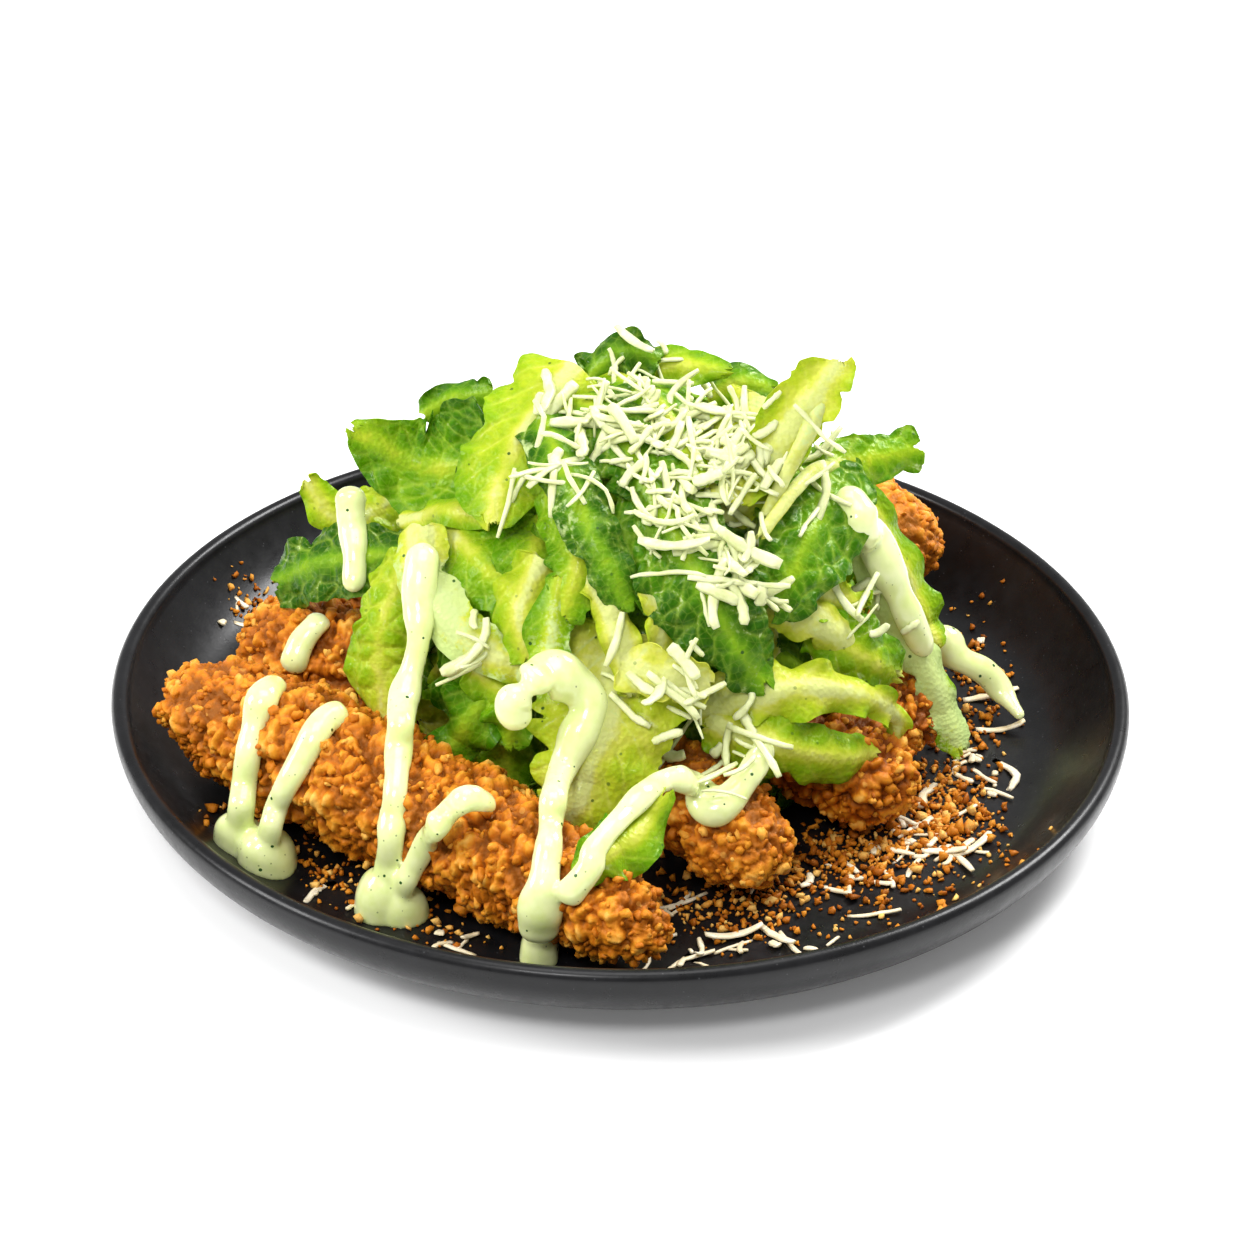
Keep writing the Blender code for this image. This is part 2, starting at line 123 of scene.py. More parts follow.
LEAVES = {
    "leaf_left_wing": leaf(((-30, 2, 78), (-49, 9, 73), (-68, 12, 83)), (34, 27, 3), (0.80, 0.55),
                           face=(-0.1, -0.85, 0.5), cup=-24, blister=0.7, ruffle=0.8),
    "leaf_pale_drape": leaf(((-11, 9, 101), (-19, -1, 96), (-25, -10, 90), (-29, -18, 83), (-30, -25, 74)),
                            (25, 28, 26, 22, 8), (0.30, 0.42), face=(-0.2, -0.7, 0.7), cup=14,
                            blister=0.35, ruffle=1.2, film=0.15),
    "leaf_top_curl": leaf(((-9, 14, 95), (-1, 16, 101), (9, 16, 99)), (10, 14, 8), (0.95, 0.90),
                          face=(0, -0.7, 0.7), ruffle=2.6, blister=0.8),
    "leaf_top_yellow": leaf(((1, 18, 93), (12, 19, 96), (26, 16, 96)), (11, 13, 3), (0.35, 0.60),
                            face=(0, -0.6, 0.8), ruffle=1.0),
    "leaf_top_small": leaf(((20, 22, 85), (28, 24, 89), (37, 22, 88)), (7, 11, 4), (0.70, 0.80),
                           face=(0, -0.7, 0.7), ruffle=1.2),
    "leaf_left_back_small": leaf(((-50, 28, 77), (-42, 28, 82), (-32, 26, 85)), (6, 9, 9), (0.80, 0.75),
                                 face=(0, -0.8, 0.6), ruffle=1.8),
    "leaf_upright_rib": leaf(((22, -20, 75), (31, -15, 85), (38, -11, 95), (45, -9, 105), (50, -7, 112)),
                             (13, 14, 16, 15, 9), (0.12, 0.30), face=(-0.2, -0.95, 0.3), cup=-20,
                             blister=0.2, rib=1.8, ruffle=0.8, film=0.3, slant=0.3),
    "leaf_right_dark": leaf(((38, -8, 75), (50, 2, 78), (61, 8, 78), (73, 12, 79)), (12, 14, 12, 11),
                            (0.56, 0.70), face=(0, -0.8, 0.6), blister=0.8, film=0.3, rib=0.8),
    "leaf_ladder": leaf(((-20, -3, 94), (-13, -24, 89), (-6, -38, 79), (3, -46, 65)), (15, 13, 13, 9),
                        (0.80, 0.92), face=(0, -0.75, 0.65), blister=0.8, film=0.32, cup=14),
    "leaf_crown_dark": leaf(((-15, 6, 95), (-3, -9, 95), (8, -25, 86)), (17, 25, 18), (0.70, 0.84),
                            blister=0.9, film=0.22),
    "leaf_crown_bright": leaf(((-6, 18, 95), (8, -2, 96), (20, -25, 86)), (16, 24, 18), (0.56, 0.68),
                              blister=0.7, film=0.22),
    "leaf_pale_crown": leaf(((34, 2, 97), (28, -11, 91), (22, -26, 83)), (18, 23, 13), (0.15, 0.25),
                            face=(0, -0.7, 0.7), blister=0.3, film=0.3),
    "leaf_dark_big": leaf(((3, -18, 89), (13, -36, 78), (23, -47, 64), (34, -50, 47)), (20, 26, 24, 9),
                          (0.76, 0.90), face=(0.1, -0.8, 0.6), blister=0.9, film=0.30, cup=16),
    "leaf_right_big": leaf(((45, 6, 81), (47, -10, 78), (41, -28, 71), (33, -40, 60)), (18, 28, 24, 10),
                           (0.68, 0.82), face=(0.2, -0.8, 0.6), blister=1.1, rib=0.9, cup=22),
    "leaf_rib_cross": leaf(((51, 2, 79), (43, -13, 84), (30, -33, 77)), (3, 3.5, 2.5), (0.12, 0.18),
                           face=(0, -0.8, 0.6), rib=1.4, blister=0.0, ruffle=0.3, cup=40),
    "leaf_rib_upright": leaf(((46, -10, 102), (39, -16, 89), (32, -26, 78)), (4, 3.5, 3), (0.10, 0.15),
                             face=(0, -0.9, 0.4), rib=1.4, blister=0.0, ruffle=0.3, cup=40, film=0.3),
    "leaf_yellow_fold": leaf(((5, -32, 77), (9, -43, 67), (8, -53, 53)), (8, 12, 5), (0.06, 0.10),
                             face=(0.3, -0.9, 0.3), blister=0.2, ruffle=2.2, rib=0.5, cup=-30),
    "leaf_yellow_flap": leaf(((0, -51, 55), (11, -56, 56), (22, -56, 52)), (10, 14, 10), (0.04, 0.10),
                             face=(0, -0.8, 0.5), blister=0.2, ruffle=1.6, rib=0.5, cup=-18),
    "leaf_stalk_right": leaf(((29, -32, 67), (48, -34, 55), (67, -26, 37)), (13, 12, 6), (0.12, 0.35),
                             face=(0.2, -0.85, 0.5), blister=0.1, rib=2.0, film=0.3, cup=26),
    "leaf_green_flake": leaf(((43, -32, 54), (55, -33, 48), (66, -28, 38)), (13, 19, 12), (0.50, 0.62),
                             face=(0.2, -0.85, 0.5), blister=0.6, film=0.45, ruffle=1.4),
    "leaf_yellow_ruffle": leaf(((37, -28, 61), (48, -28, 61), (58, -24, 54)), (10, 13, 8), (0.25, 0.38),
                               face=(0.1, -0.8, 0.6), blister=0.4, ruffle=2.4, cup=-20),
    "leaf_loop_low": leaf(((19, -50, 40), (34, -57, 38), (50, -53, 32), (64, -40, 25)), (13, 18, 16, 8),
                          (0.30, 0.48), face=(0.1, -0.85, 0.5), cup=50, ruffle=1.2, blister=0.35),
    "leaf_loop_top": leaf(((17, -46, 40), (32, -50, 47), (48, -47, 47), (63, -40, 37), (66, -37, 26)),
                          (8, 15, 12, 7, 6), (0.15, 0.30), face=(0, -0.5, 0.85), roll=-20, cup=24,
                          ruffle=2.2, blister=0.3),
    "leaf_pale_front": leaf(((1, -40, 60), (-3, -56, 47), (-8, -67, 33), (-15, -72, 19)), (33, 35, 27, 7),
                            (0.18, 0.24), face=(-0.1, -0.9, 0.4), blister=0.3, film=0.25, cup=16),
    "leaf_front_ribbon": leaf(((-9, -99, 30), (-2, -95, 34), (4, -88, 34), (11, -75, 38)), (6, 13, 14, 4),
                              (0.60, 0.52), face=(0.2, -0.7, 0.75), blister=0.3, ruffle=1.2, film=0.3),
    "leaf_left_round": leaf(((-50, -14, 63), (-56, -24, 51), (-57, -31, 38), (-52, -40, 21)), (11, 17, 18, 7),
                            (0.30, 0.36), face=(-0.3, -0.9, 0.35), blister=1.2, rib=0.6, cup=24),
    "leaf_left_stalk": leaf(((-48, -15, 72), (-46, -27, 63), (-40, -36, 57), (-30, -43, 53), (-19, -48, 49)),
                            (12, 14, 13, 11, 8), (0.12, 0.22), face=(-0.2, -0.8, 0.55), blister=0.2,
                            rib=1.8, film=0.8, ruffle=0.8),
    "leaf_ribbed_mid": leaf(((-43, -12, 69), (-33, -27, 68), (-22, -38, 60)), (10, 19, 15), (0.50, 0.64),
                            face=(-0.1, -0.8, 0.6), blister=0.5, ruffle=1.0),
    "leaf_ruffle_low": leaf(((-41, -35, 51), (-31, -44, 45), (-38, -48, 32), (-43, -48, 24)), (10, 18, 13, 6),
                            (0.66, 0.76), face=(-0.1, -0.9, 0.4), ruffle=2.8, blister=0.5),
    "leaf_ruffle_right": leaf(((-34, -43, 49), (-26, -49, 43), (-25, -52, 31)), (9, 14, 6), (0.50, 0.60),
                              face=(0.1, -0.9, 0.4), ruffle=3.0, blister=0.5),
    "leaf_shade": leaf(((-31, -36, 37), (-27, -44, 25), (-28, -47, 12)), (17, 21, 12), (0.56, 0.64),
                       face=(0, -0.95, 0.3), blister=0.4),
    "leaf_cream_mid": leaf(((-18, -30, 71), (-23, -40, 62), (-20, -47, 52)), (11, 17, 10), (0.24, 0.38),
                           face=(-0.2, -0.9, 0.4), blister=0.2, ruffle=1.5),
    "leaf_coated_mid": leaf(((-14, -38, 71), (-16, -48, 61), (-16, -55, 52)), (8, 12, 9), (0.60, 0.55),
                            face=(0, -0.9, 0.4), film=0.55, blister=0.2),
    "leaf_bright_mid": leaf(((-16, -19, 84), (-10, -35, 75), (-14, -44, 61)), (12, 17, 10), (0.55, 0.60),
                            face=(-0.1, -0.85, 0.5), blister=0.4),
    "leaf_yellow_mid": leaf(((-8, -37, 71), (-1, -47, 63), (3, -55, 47)), (8, 9, 6), (0.14, 0.18),
                            face=(0.2, -0.9, 0.4), ruffle=1.8, blister=0.2),
    "leaf_under_drape": leaf(((-18, -17, 75), (-21, -28, 69), (-22, -36, 61)), (17, 19, 8), (0.60, 0.70),
                             face=(-0.1, -0.85, 0.5), blister=0.4),
    "leaf_left_dark": leaf(((-49, -5, 57), (-62, -4, 55), (-76, 2, 49), (-87, 8, 40)), (13, 17, 19, 13),
                           (0.90, 0.98), face=(-0.2, -0.7, 0.7), blister=1.0, film=0.1, ruffle=1.4),
    "leaf_left_tip": leaf(((-60, 8, 50), (-70, 10, 57), (-78, 12, 68)), (12, 13, 5), (0.30, 0.40),
                          face=(-0.1, -0.9, 0.4), blister=0.3),
    "leaf_left_crinkle": leaf(((-67, 4, 59), (-59, 11, 61), (-48, 17, 65)), (11, 15, 13), (0.32, 0.30),
                              face=(-0.1, -0.8, 0.6), blister=1.3),
    "leaf_arc": leaf(((-53, 0, 62), (-42, -11, 72), (-30, -19, 74)), (4, 8, 5), (0.40, 0.45),
                     face=(-0.1, -0.6, 0.8), blister=0.2),
    "leaf_right_strip": leaf(((50, 2, 75), (60, -8, 60), (71, -11, 38), (79, -17, 22), (84, -23, 11)),
                             (13, 13, 12, 11, 7), (0.12, 0.55), face=(0.4, -0.75, 0.55), blister=0.2,
                             rib=1.8, film=0.9, cup=24, ruffle=0.7),
    "leaf_right_behind": leaf(((56, 12, 68), (65, 9, 53), (74, 4, 37), (78, 0, 28)), (12, 13, 13, 8),
                              (0.45, 0.42), face=(0.5, -0.7, 0.5), blister=0.3),
}

INNER_LEAVES = 64           # leaves under the named ones, all round the heap
INNER_SEED = 11
CORE_RADII = np.array((52.0, 44.0, 74.0))

# ---------------------------------------------------------------- dressing
# Each strand: points of its path and the half width at them, in mm.
STRANDS = (
    (((-66, 8, 68), (-66, 4, 63), (-65, 0, 55), (-65, -6, 46)), (4.0, 3.2, 3.4, 2.6)),
    (((-73, -2, 37), (-78, -8, 33), (-81, -8, 24)), (3.4, 3.6, 3.2)),
    (((-80, -34, 39), (-83, -44, 40), (-85, -54, 34), (-87, -57, 22), (-88, -57, 13), (-87, -57, 7)),
     (3.4, 3.6, 3.2, 2.8, 3.4, 3.6)),
    (((-63, -46, 38), (-68, -54, 40), (-73, -62, 34), (-78, -63, 24), (-81, -62, 13), (-82, -61, 7)),
     (3.2, 3.4, 3.0, 2.6, 3.2, 3.4)),
    (((-46, -26, 72), (-47, -31, 62), (-47, -38, 52), (-50, -46, 42), (-50, -58, 41), (-50, -74, 36),
      (-51, -77, 26), (-52, -77, 14), (-53, -76, 7)), (4.2, 4.0, 3.2, 3.6, 3.4, 3.2, 3.0, 3.6, 3.8)),
    (((-28, -82, 38), (-34, -84, 40), (-40, -87, 35), (-44, -84, 25), (-48, -80, 14), (-50, -77, 7)),
     (3.0, 3.4, 3.2, 2.8, 3.0, 3.2)),
    (((-22, -60, 55), (-15, -60, 58), (-7, -62, 52), (-10, -68, 45), (-14, -76, 38), (-15, -90, 34),
      (-16, -96, 27), (-17, -96, 17), (-17, -95, 10)), (4.6, 5.6, 5.2, 4.2, 3.2, 3.2, 4.0, 5.0, 4.8)),
    (((-22, -60, 55), (-24, -62, 50), (-21, -64, 46)), (4.4, 4.0, 3.0)),
    (((34, -60, 41), (29, -64, 33), (22, -70, 29), (16, -70, 36), (9, -72, 37), (1, -78, 32),
      (-5, -88, 30), (-6, -98, 32), (-12, -100, 24)), (2.6, 3.4, 4.6, 3.4, 3.2, 2.8, 2.8, 3.0, 3.2)),
    (((79, 16, 26), (84, 12, 20), (92, 12, 15), (97, 9, 10), (101, 1, 8)), (4.6, 4.2, 3.8, 3.0, 1.4)),
    (((52, 0, 74), (59, -6, 65), (67, -12, 50), (74, -15, 36)), (4.0, 4.4, 4.2, 3.2)),
)
# Each pool on the plate: centre x and y, its radius and its height, in mm.
POOLS = ((-88, -56, 6.8, 10.0), (-81.5, -61, 7.0, 10.0), (-53.5, -77, 7.2, 11.0),
         (-49, -79, 6.4, 8.5), (-17, -94, 4.9, 9.5))
STRAND_FLATNESS = 0.62      # height of a strand's section over its width
STRAND_LIFT = 0.0006        # how far a strand's core line lies above what carries it
DRESSING_VOXEL = 0.00055
SETTLE_PASSES = 8           # rounds of smoothing of how far a strand's points lie from the viewer
DRESSING_SMOOTHING = 9

# ---------------------------------------------------------------- cheese and crumbs
# Each heap of cheese on the leaves: centre in mm, spread in mm, how many shreds.
CHEESE_HEAPS = (
    ((-6, -2, 97), 4, 12), ((4, -6, 96), 6, 28), ((14, -10, 94), 7, 38), ((24, -12, 91), 6, 30),
    ((20, -20, 87), 8, 40), ((8, -28, 84), 6, 22), ((22, -34, 77), 6, 28), ((29, -38, 69), 5, 18),
    ((-12, -22, 88), 6, 12), ((-18, -6, 93), 3, 5), ((12, -58, 50), 7, 18), ((26, -60, 44), 5, 14),
    ((46, 2, 83), 4, 9), ((58, -20, 52), 6, 11), ((-36, -40, 52), 4, 6), ((0, 12, 94), 20, 22),
)
# Each patch of cheese or crumb on the plate: centre x, y, spread along its length and across it in
# mm, the turn of its length in degrees, how many.
CHEESE_PATCHES = ((8, -76, 10, 4, -10, 12), (28, -90, 14, 4, 8, 18), (72, -44, 10, 9, -40, 26),
                  (88, -18, 6, 10, 0, 14), (95, 22, 3, 14, 0, 8), (-66, -74, 4, 2, -30, 3),
                  (-37, -90, 5, 2, 0, 5), (56, -64, 16, 9, 0, 12), (-100, 44, 5, 6, 0, 5))
CRUMB_PATCHES = ((58, -53, 22, 9, 28, 470), (79, -32, 9, 16, 0, 430), (20, -76, 17, 9, 0, 240),
                 (52, -64, 26, 15, 22, 340), (90, 20, 7, 24, 0, 190), (-97, 50, 7, 7, 0, 90),
                 (-60, -70, 30, 6, -38, 220), (-90, -44, 5, 7, 0, 24), (4, 0, 62, 60, 0, 160))
SHRED_RINGS = 9
SHRED_SIDES = 6
SHRED_THICKNESS = 0.0006


# ---------------------------------------------------------------- noise
def mixed(cell, seed):
    """Three repeatable numbers from 0 to 1 for each whole-number cell, by integer mixing."""
    x, y, z = (cell[..., axis].astype(np.int64) for axis in range(3))
    code = ((x * 73856093) ^ (y * 19349663) ^ (z * 83492791) ^ (seed * 40503 + 977)) & 0xFFFFFFFF
    shares = []
    for _ in range(3):
        code = ((code ^ (code >> 15)) * 1274126177) & 0xFFFFFFFF
        code = code ^ (code >> 13)
        shares.append(code / 0xFFFFFFFF)
    return np.stack(shares, axis=-1)


def smooth_noise(points, size, seed=0):
    """Noise from -1 to 1: the mixed numbers of a cubic cell's corners, blended by smoothsteps."""
    scaled = points / size
    base = np.floor(scaled)
    share = scaled - base
    share = share * share * (3 - 2 * share)
    total = 0.0
    for corner in np.ndindex(2, 2, 2):
        weight = np.prod(np.where(corner, share, 1 - share), axis=-1)
        total = total + weight * mixed(base + corner, seed)[..., 0]
    return 2 * total - 1


def nearest_spots(points, size, seed=0, flat=False):
    """Distances, in cells, to the nearest and the second nearest of one spot for each cell."""
    scaled = points / size
    base = np.floor(scaled)
    near = np.full(scaled.shape[:-1], 9.0)
    second = near.copy()
    for step in np.ndindex(3, 3, 1 if flat else 3):
        cell = base + np.array(step) - (1, 1, 0 if flat else 1)
        spot = cell + 0.06 + 0.88 * mixed(cell, seed)
        if flat:
            spot[..., 2] = scaled[..., 2]
        gap = np.linalg.norm(scaled - spot, axis=-1)
        second = np.minimum(second, np.maximum(near, gap))
        near = np.minimum(near, gap)
    return near, second


def grains(points, size, seed=0):
    """Height of round grains over a surface: where a ball about each cell's spot reaches it, the
    square root of the ball's squared radius less the squared distance; elsewhere zero."""
    scaled = points / size
    base = np.floor(scaled)
    height = np.zeros(scaled.shape[:-1])
    for step in np.ndindex(3, 3, 3):
        cell = base + np.array(step) - 1
        share = mixed(cell, seed)
        radius = 0.50 + 0.28 * mixed(cell, seed + 1)[..., 0]
        gap = ((scaled - cell - share) ** 2).sum(axis=-1)
        height = np.maximum(height, radius ** 2 - gap)
    return np.sqrt(height) * size


# ---------------------------------------------------------------- meshes
def grid_faces(rows, columns, wrap=False):
    """Quads between each grid point, the next column and the next row; wrap closes the columns."""
    row = np.arange(rows - 1)[:, None]
    column = np.arange(columns if wrap else columns - 1)[None, :]
    after = (column + 1) % columns
    corners = (row * columns + column, row * columns + after,
               (row + 1) * columns + after, (row + 1) * columns + column)
    return np.stack(corners, axis=-1).reshape(-1, 4)


def pole_faces(ring, columns, pole, outwards):
    """Triangles from one ring of a grid to its pole; outwards gives their winding."""
    column = np.arange(columns)
    after = (column + 1) % columns
    pair = (ring + column, ring + after) if outwards else (ring + after, ring + column)
    return np.stack((*pair, np.full(columns, pole)), axis=-1)


def end_faces(rings, columns, outwards):
    """Triangles that close both ends of a stack of rings; the two poles follow the rings' points."""
    poles = rings * columns
    return np.concatenate((pole_faces(0, columns, poles, outwards),
                           pole_faces(poles - columns, columns, poles + 1, not outwards)))


def ball_grid(rows, columns):
    """A closed ball of radius 1, latitude by longitude: its points, its quads and its end triangles."""
    latitude = np.linspace(0, math.pi, rows + 2)[1:-1, None]
    longitude = np.linspace(0, math.tau, columns, endpoint=False)[None, :]
    rings = np.stack((np.sin(latitude) * np.cos(longitude), np.sin(latitude) * np.sin(longitude),
                      np.cos(latitude) + 0 * longitude), axis=-1).reshape(-1, 3)
    points = np.concatenate((rings, ((0, 0, 1), (0, 0, -1))))
    return points, grid_faces(rows, columns, wrap=True)[:, ::-1], end_faces(rows, columns, True)


def joined(parts):
    """The vertices of several (vertices, face arrays) parts in one array, and all their face arrays."""
    offsets = np.cumsum([0] + [len(vertices) for vertices, _ in parts])
    face_sets = [faces + offset for (_, own), offset in zip(parts, offsets) for faces in own]
    return np.concatenate([vertices for vertices, _ in parts]), face_sets


def build_piece(name, vertices, face_sets, material, uv=None, marks=None, crisp=False):
    """Puts arrays of vertices and faces into a smooth mesh object at the origin, with its UV map
    and its per-vertex numbers, and lets it ride on the root body. A crisp one keeps its edges sharp."""
    mesh = bpy.data.meshes.new(name)
    vertices = np.asarray(vertices, dtype=np.float32)
    loops = np.concatenate([faces.ravel() for faces in face_sets]).astype(np.int32)
    sizes = np.concatenate([np.full(len(faces), faces.shape[1]) for faces in face_sets])
    starts = (np.cumsum(sizes) - sizes).astype(np.int32)
    mesh.vertices.add(len(vertices))
    mesh.vertices.foreach_set("co", vertices.ravel())
    mesh.loops.add(len(loops))
    mesh.loops.foreach_set("vertex_index", loops)
    mesh.polygons.add(len(starts))
    mesh.polygons.foreach_set("loop_start", starts)
    mesh.update(calc_edges=True)
    mesh.shade_smooth()
    if crisp:
        mesh.set_sharp_from_angle(angle=CRISP_ANGLE)
    if uv is not None:
        layer = mesh.uv_layers.new(name="sheet")
        layer.data.foreach_set("uv", np.asarray(uv, dtype=np.float32)[loops].ravel())
    for label, numbers in (marks or {}).items():
        store = mesh.attributes.new(label, "FLOAT", "POINT")
        store.data.foreach_set("value", np.asarray(numbers, dtype=np.float32).ravel())
    mesh.validate()
    mesh.materials.append(material)
    piece = bpy.data.objects.new(name, mesh)
    bpy.context.scene.collection.objects.link(piece)
    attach(piece, ROOT)
    return piece


def unit(vectors):
    """The vectors at length 1."""
    length = np.linalg.norm(vectors, axis=-1, keepdims=True)
    return vectors / np.maximum(length, 1e-12)


def through(points, shares):
    """A smooth curve through the points: each stretch is a cubic whose slope at a point is half
    the step between its neighbours; shares run from 0 to 1 and may pass beyond either end."""
    points = np.asarray(points, dtype=float)
    if points.ndim == 1:
        points = points[:, None]
    last = len(points) - 1
    slopes = np.gradient(points, axis=0)
    run = np.asarray(shares) * last
    start = np.clip(np.floor(run).astype(int), 0, last - 1)
    t = (run - start)[..., None]
    a, b = points[start], points[start + 1]
    slope_a, slope_b = slopes[start], slopes[start + 1]
    inside = ((2 * t ** 3 - 3 * t ** 2 + 1) * a + (t ** 3 - 2 * t ** 2 + t) * slope_a
              + (3 * t ** 2 - 2 * t ** 3) * b + (t ** 3 - t ** 2) * slope_b)
    before = a + slope_a * t
    beyond = b + slope_b * (t - 1)
    return np.where(t < 0, before, np.where(t > 1, beyond, inside))


def scattered(shape, faces, places, turns, scales):
    """Copies of one small shape as a single array: each is scaled, turned and moved."""
    copies = np.einsum("nij,nvj->nvi", turns, shape[None] * scales[:, None, :]) + places[:, None, :]
    offsets = (np.arange(len(places)) * len(shape))[:, None, None]
    return copies.reshape(-1, 3), (faces[None] + offsets).reshape(-1, faces.shape[1])


def random_turns(rng, count):
    """Random rotation matrices, from unit quaternions of normally spread numbers."""
    w, x, y, z = unit(rng.normal(size=(count, 4))).T
    rows = (1 - 2 * (y * y + z * z), 2 * (x * y - z * w), 2 * (x * z + y * w),
            2 * (x * y + z * w), 1 - 2 * (x * x + z * z), 2 * (y * z - x * w),
            2 * (x * z - y * w), 2 * (y * z + x * w), 1 - 2 * (x * x + y * y))
    return np.stack(rows, axis=-1).reshape(-1, 3, 3)


def grain_shape(rows, columns, seed, depth):
    """A lumpy closed ball of radius 1: latitude by longitude, its radius varied by noise."""
    ball, quads, ends = ball_grid(rows, columns)
    ball = ball * (1 + depth * smooth_noise(ball, 0.8, seed))[:, None]
    return ball, np.concatenate((quads[:, :3], quads[:, (0, 2, 3)], ends))


# ---------------------------------------------------------------- colours and shader nodes
def srgb(red, green, blue):
    """A screen colour of 0 to 255 as linear RGBA."""
    share = np.array((red, green, blue)) / 255
    linear = np.where(share <= 0.04045, share / 12.92, ((share + 0.055) / 1.055) ** 2.4)
    return (*(float(value) for value in linear), 1.0)


def put(tree, kind, inputs=None, **settings):
    """A new shader node; inputs are constants or sockets to link, settings are its options."""
    made = tree.nodes.new(kind)
    for key, value in settings.items():
        setattr(made, key, value)
    for key, value in (inputs or {}).items():
        socket = made.inputs[key]
        if isinstance(value, bpy.types.NodeSocket):
            tree.links.new(value, socket)
        else:
            socket.default_value = value
    return made


def ramp(tree, factor, stops):
    """The colour of a ramp of (place, colour) stops at that factor."""
    made = put(tree, "ShaderNodeValToRGB", {"Fac": factor})
    elements = made.color_ramp.elements
    while len(elements) < len(stops):
        elements.new(0.5)
    for element, (place, colour) in zip(elements, stops):
        element.position = place
        element.color = colour
    return made.outputs["Color"]


def calculate(tree, operation, first, second=0.5, clamp=False):
    """The result of one maths node."""
    made = put(tree, "ShaderNodeMath", {0: first, 1: second}, operation=operation, use_clamp=clamp)
    return made.outputs[0]


def spread(tree, value, low, high, to_low=0.0, to_high=1.0):
    """The value's place between low and high, carried to the new range and held inside it."""
    inputs = {"Value": value, "From Min": low, "From Max": high, "To Min": to_low, "To Max": to_high}
    return put(tree, "ShaderNodeMapRange", inputs).outputs[0]


def blend_colour(tree, factor, first, second):
    """Two colours mixed by the factor."""
    made = put(tree, "ShaderNodeMix", {0: factor, 6: first, 7: second}, data_type="RGBA")
    return made.outputs[2]


def noise_at(tree, scale, detail=2.0, roughness=0.5):
    """Shader noise on the piece's own coordinates."""
    place = put(tree, "ShaderNodeTexCoord").outputs["Object"]
    inputs = {"Vector": place, "Scale": scale, "Detail": detail, "Roughness": roughness}
    return put(tree, "ShaderNodeTexNoise", inputs).outputs["Fac"]


def mark(tree, name):
    """The piece's per-vertex number of that name."""
    return put(tree, "ShaderNodeAttribute", attribute_name=name).outputs["Fac"]


def new_material(name):
    """An empty node material and its tree."""
    material = bpy.data.materials.new(name)
    material.use_nodes = True
    material.node_tree.nodes.clear()
    return material, material.node_tree


def close_material(tree, shader):
    """Links the shader to the material's output."""
    put(tree, "ShaderNodeOutputMaterial", {"Surface": shader})


def make_fleck_group():
    """Node group: small round flecks, one for some of the cells of a Voronoi pattern.
    Cells: how many to a metre. Size: a fleck's radius in cells. Share: how many cells have one."""
    group = bpy.data.node_groups.new("herb flecks", "ShaderNodeTree")
    for label, value in (("Cells", 300.0), ("Size", 0.15), ("Share", 0.3)):
        socket = group.interface.new_socket(label, in_out="INPUT", socket_type="NodeSocketFloat")
        socket.default_value = value
    group.interface.new_socket("Mask", in_out="OUTPUT", socket_type="NodeSocketFloat")
    given = group.nodes.new("NodeGroupInput").outputs
    place = put(group, "ShaderNodeTexCoord").outputs["Object"]
    cells = put(group, "ShaderNodeTexVoronoi", {"Vector": place, "Scale": given["Cells"]})
    inside = calculate(group, "LESS_THAN", cells.outputs["Distance"], given["Size"])
    chosen = calculate(group, "LESS_THAN",
                       put(group, "ShaderNodeSeparateColor", {"Color": cells.outputs["Color"]}).outputs[0],
                       given["Share"])
    both = calculate(group, "MULTIPLY", inside, chosen)
    put(group, "NodeGroupOutput", {"Mask": both})
    return group


def make_mottle_group():
    """Node group: uneven blotches from 0 to 1, coarse noise with half as much fine noise on it.
    Scale: how many coarse blotches to a metre."""
    group = bpy.data.node_groups.new("mottle", "ShaderNodeTree")
    socket = group.interface.new_socket("Scale", in_out="INPUT", socket_type="NodeSocketFloat")
    socket.default_value = 100.0
    group.interface.new_socket("Blotch", in_out="OUTPUT", socket_type="NodeSocketFloat")
    given = group.nodes.new("NodeGroupInput").outputs
    place = put(group, "ShaderNodeTexCoord").outputs["Object"]
    coarse = put(group, "ShaderNodeTexNoise", {"Vector": place, "Scale": given["Scale"], "Detail": 3.0})
    finer = calculate(group, "MULTIPLY", given["Scale"], 4.3)
    fine = put(group, "ShaderNodeTexNoise", {"Vector": place, "Scale": finer, "Detail": 2.0})
    both = calculate(group, "MULTIPLY_ADD", fine.outputs["Fac"], 0.5)
    both.node.inputs[2].default_value = -0.25
    total = calculate(group, "ADD", coarse.outputs["Fac"], both)
    put(group, "NodeGroupOutput", {"Blotch": spread(group, total, 0.3, 0.7)})
    return group


FLECKS = make_fleck_group()
MOTTLE = make_mottle_group()


def flecks(tree, cells, size, share):
    """The mask of the herb fleck group."""
    made = put(tree, "ShaderNodeGroup", node_tree=FLECKS)
    made.inputs["Cells"].default_value = cells
    made.inputs["Size"].default_value = size
    made.inputs["Share"].default_value = share
    return made.outputs["Mask"]


def mottle(tree, scale):
    """The blotches of the mottle group."""
    made = put(tree, "ShaderNodeGroup", node_tree=MOTTLE)
    made.inputs["Scale"].default_value = scale
    return made.outputs["Blotch"]


# ---------------------------------------------------------------- materials
DRESSING_PALE = srgb(236, 243, 180)
DRESSING_GREEN = srgb(220, 233, 150)
HERB_GREEN = srgb(52, 92, 40)


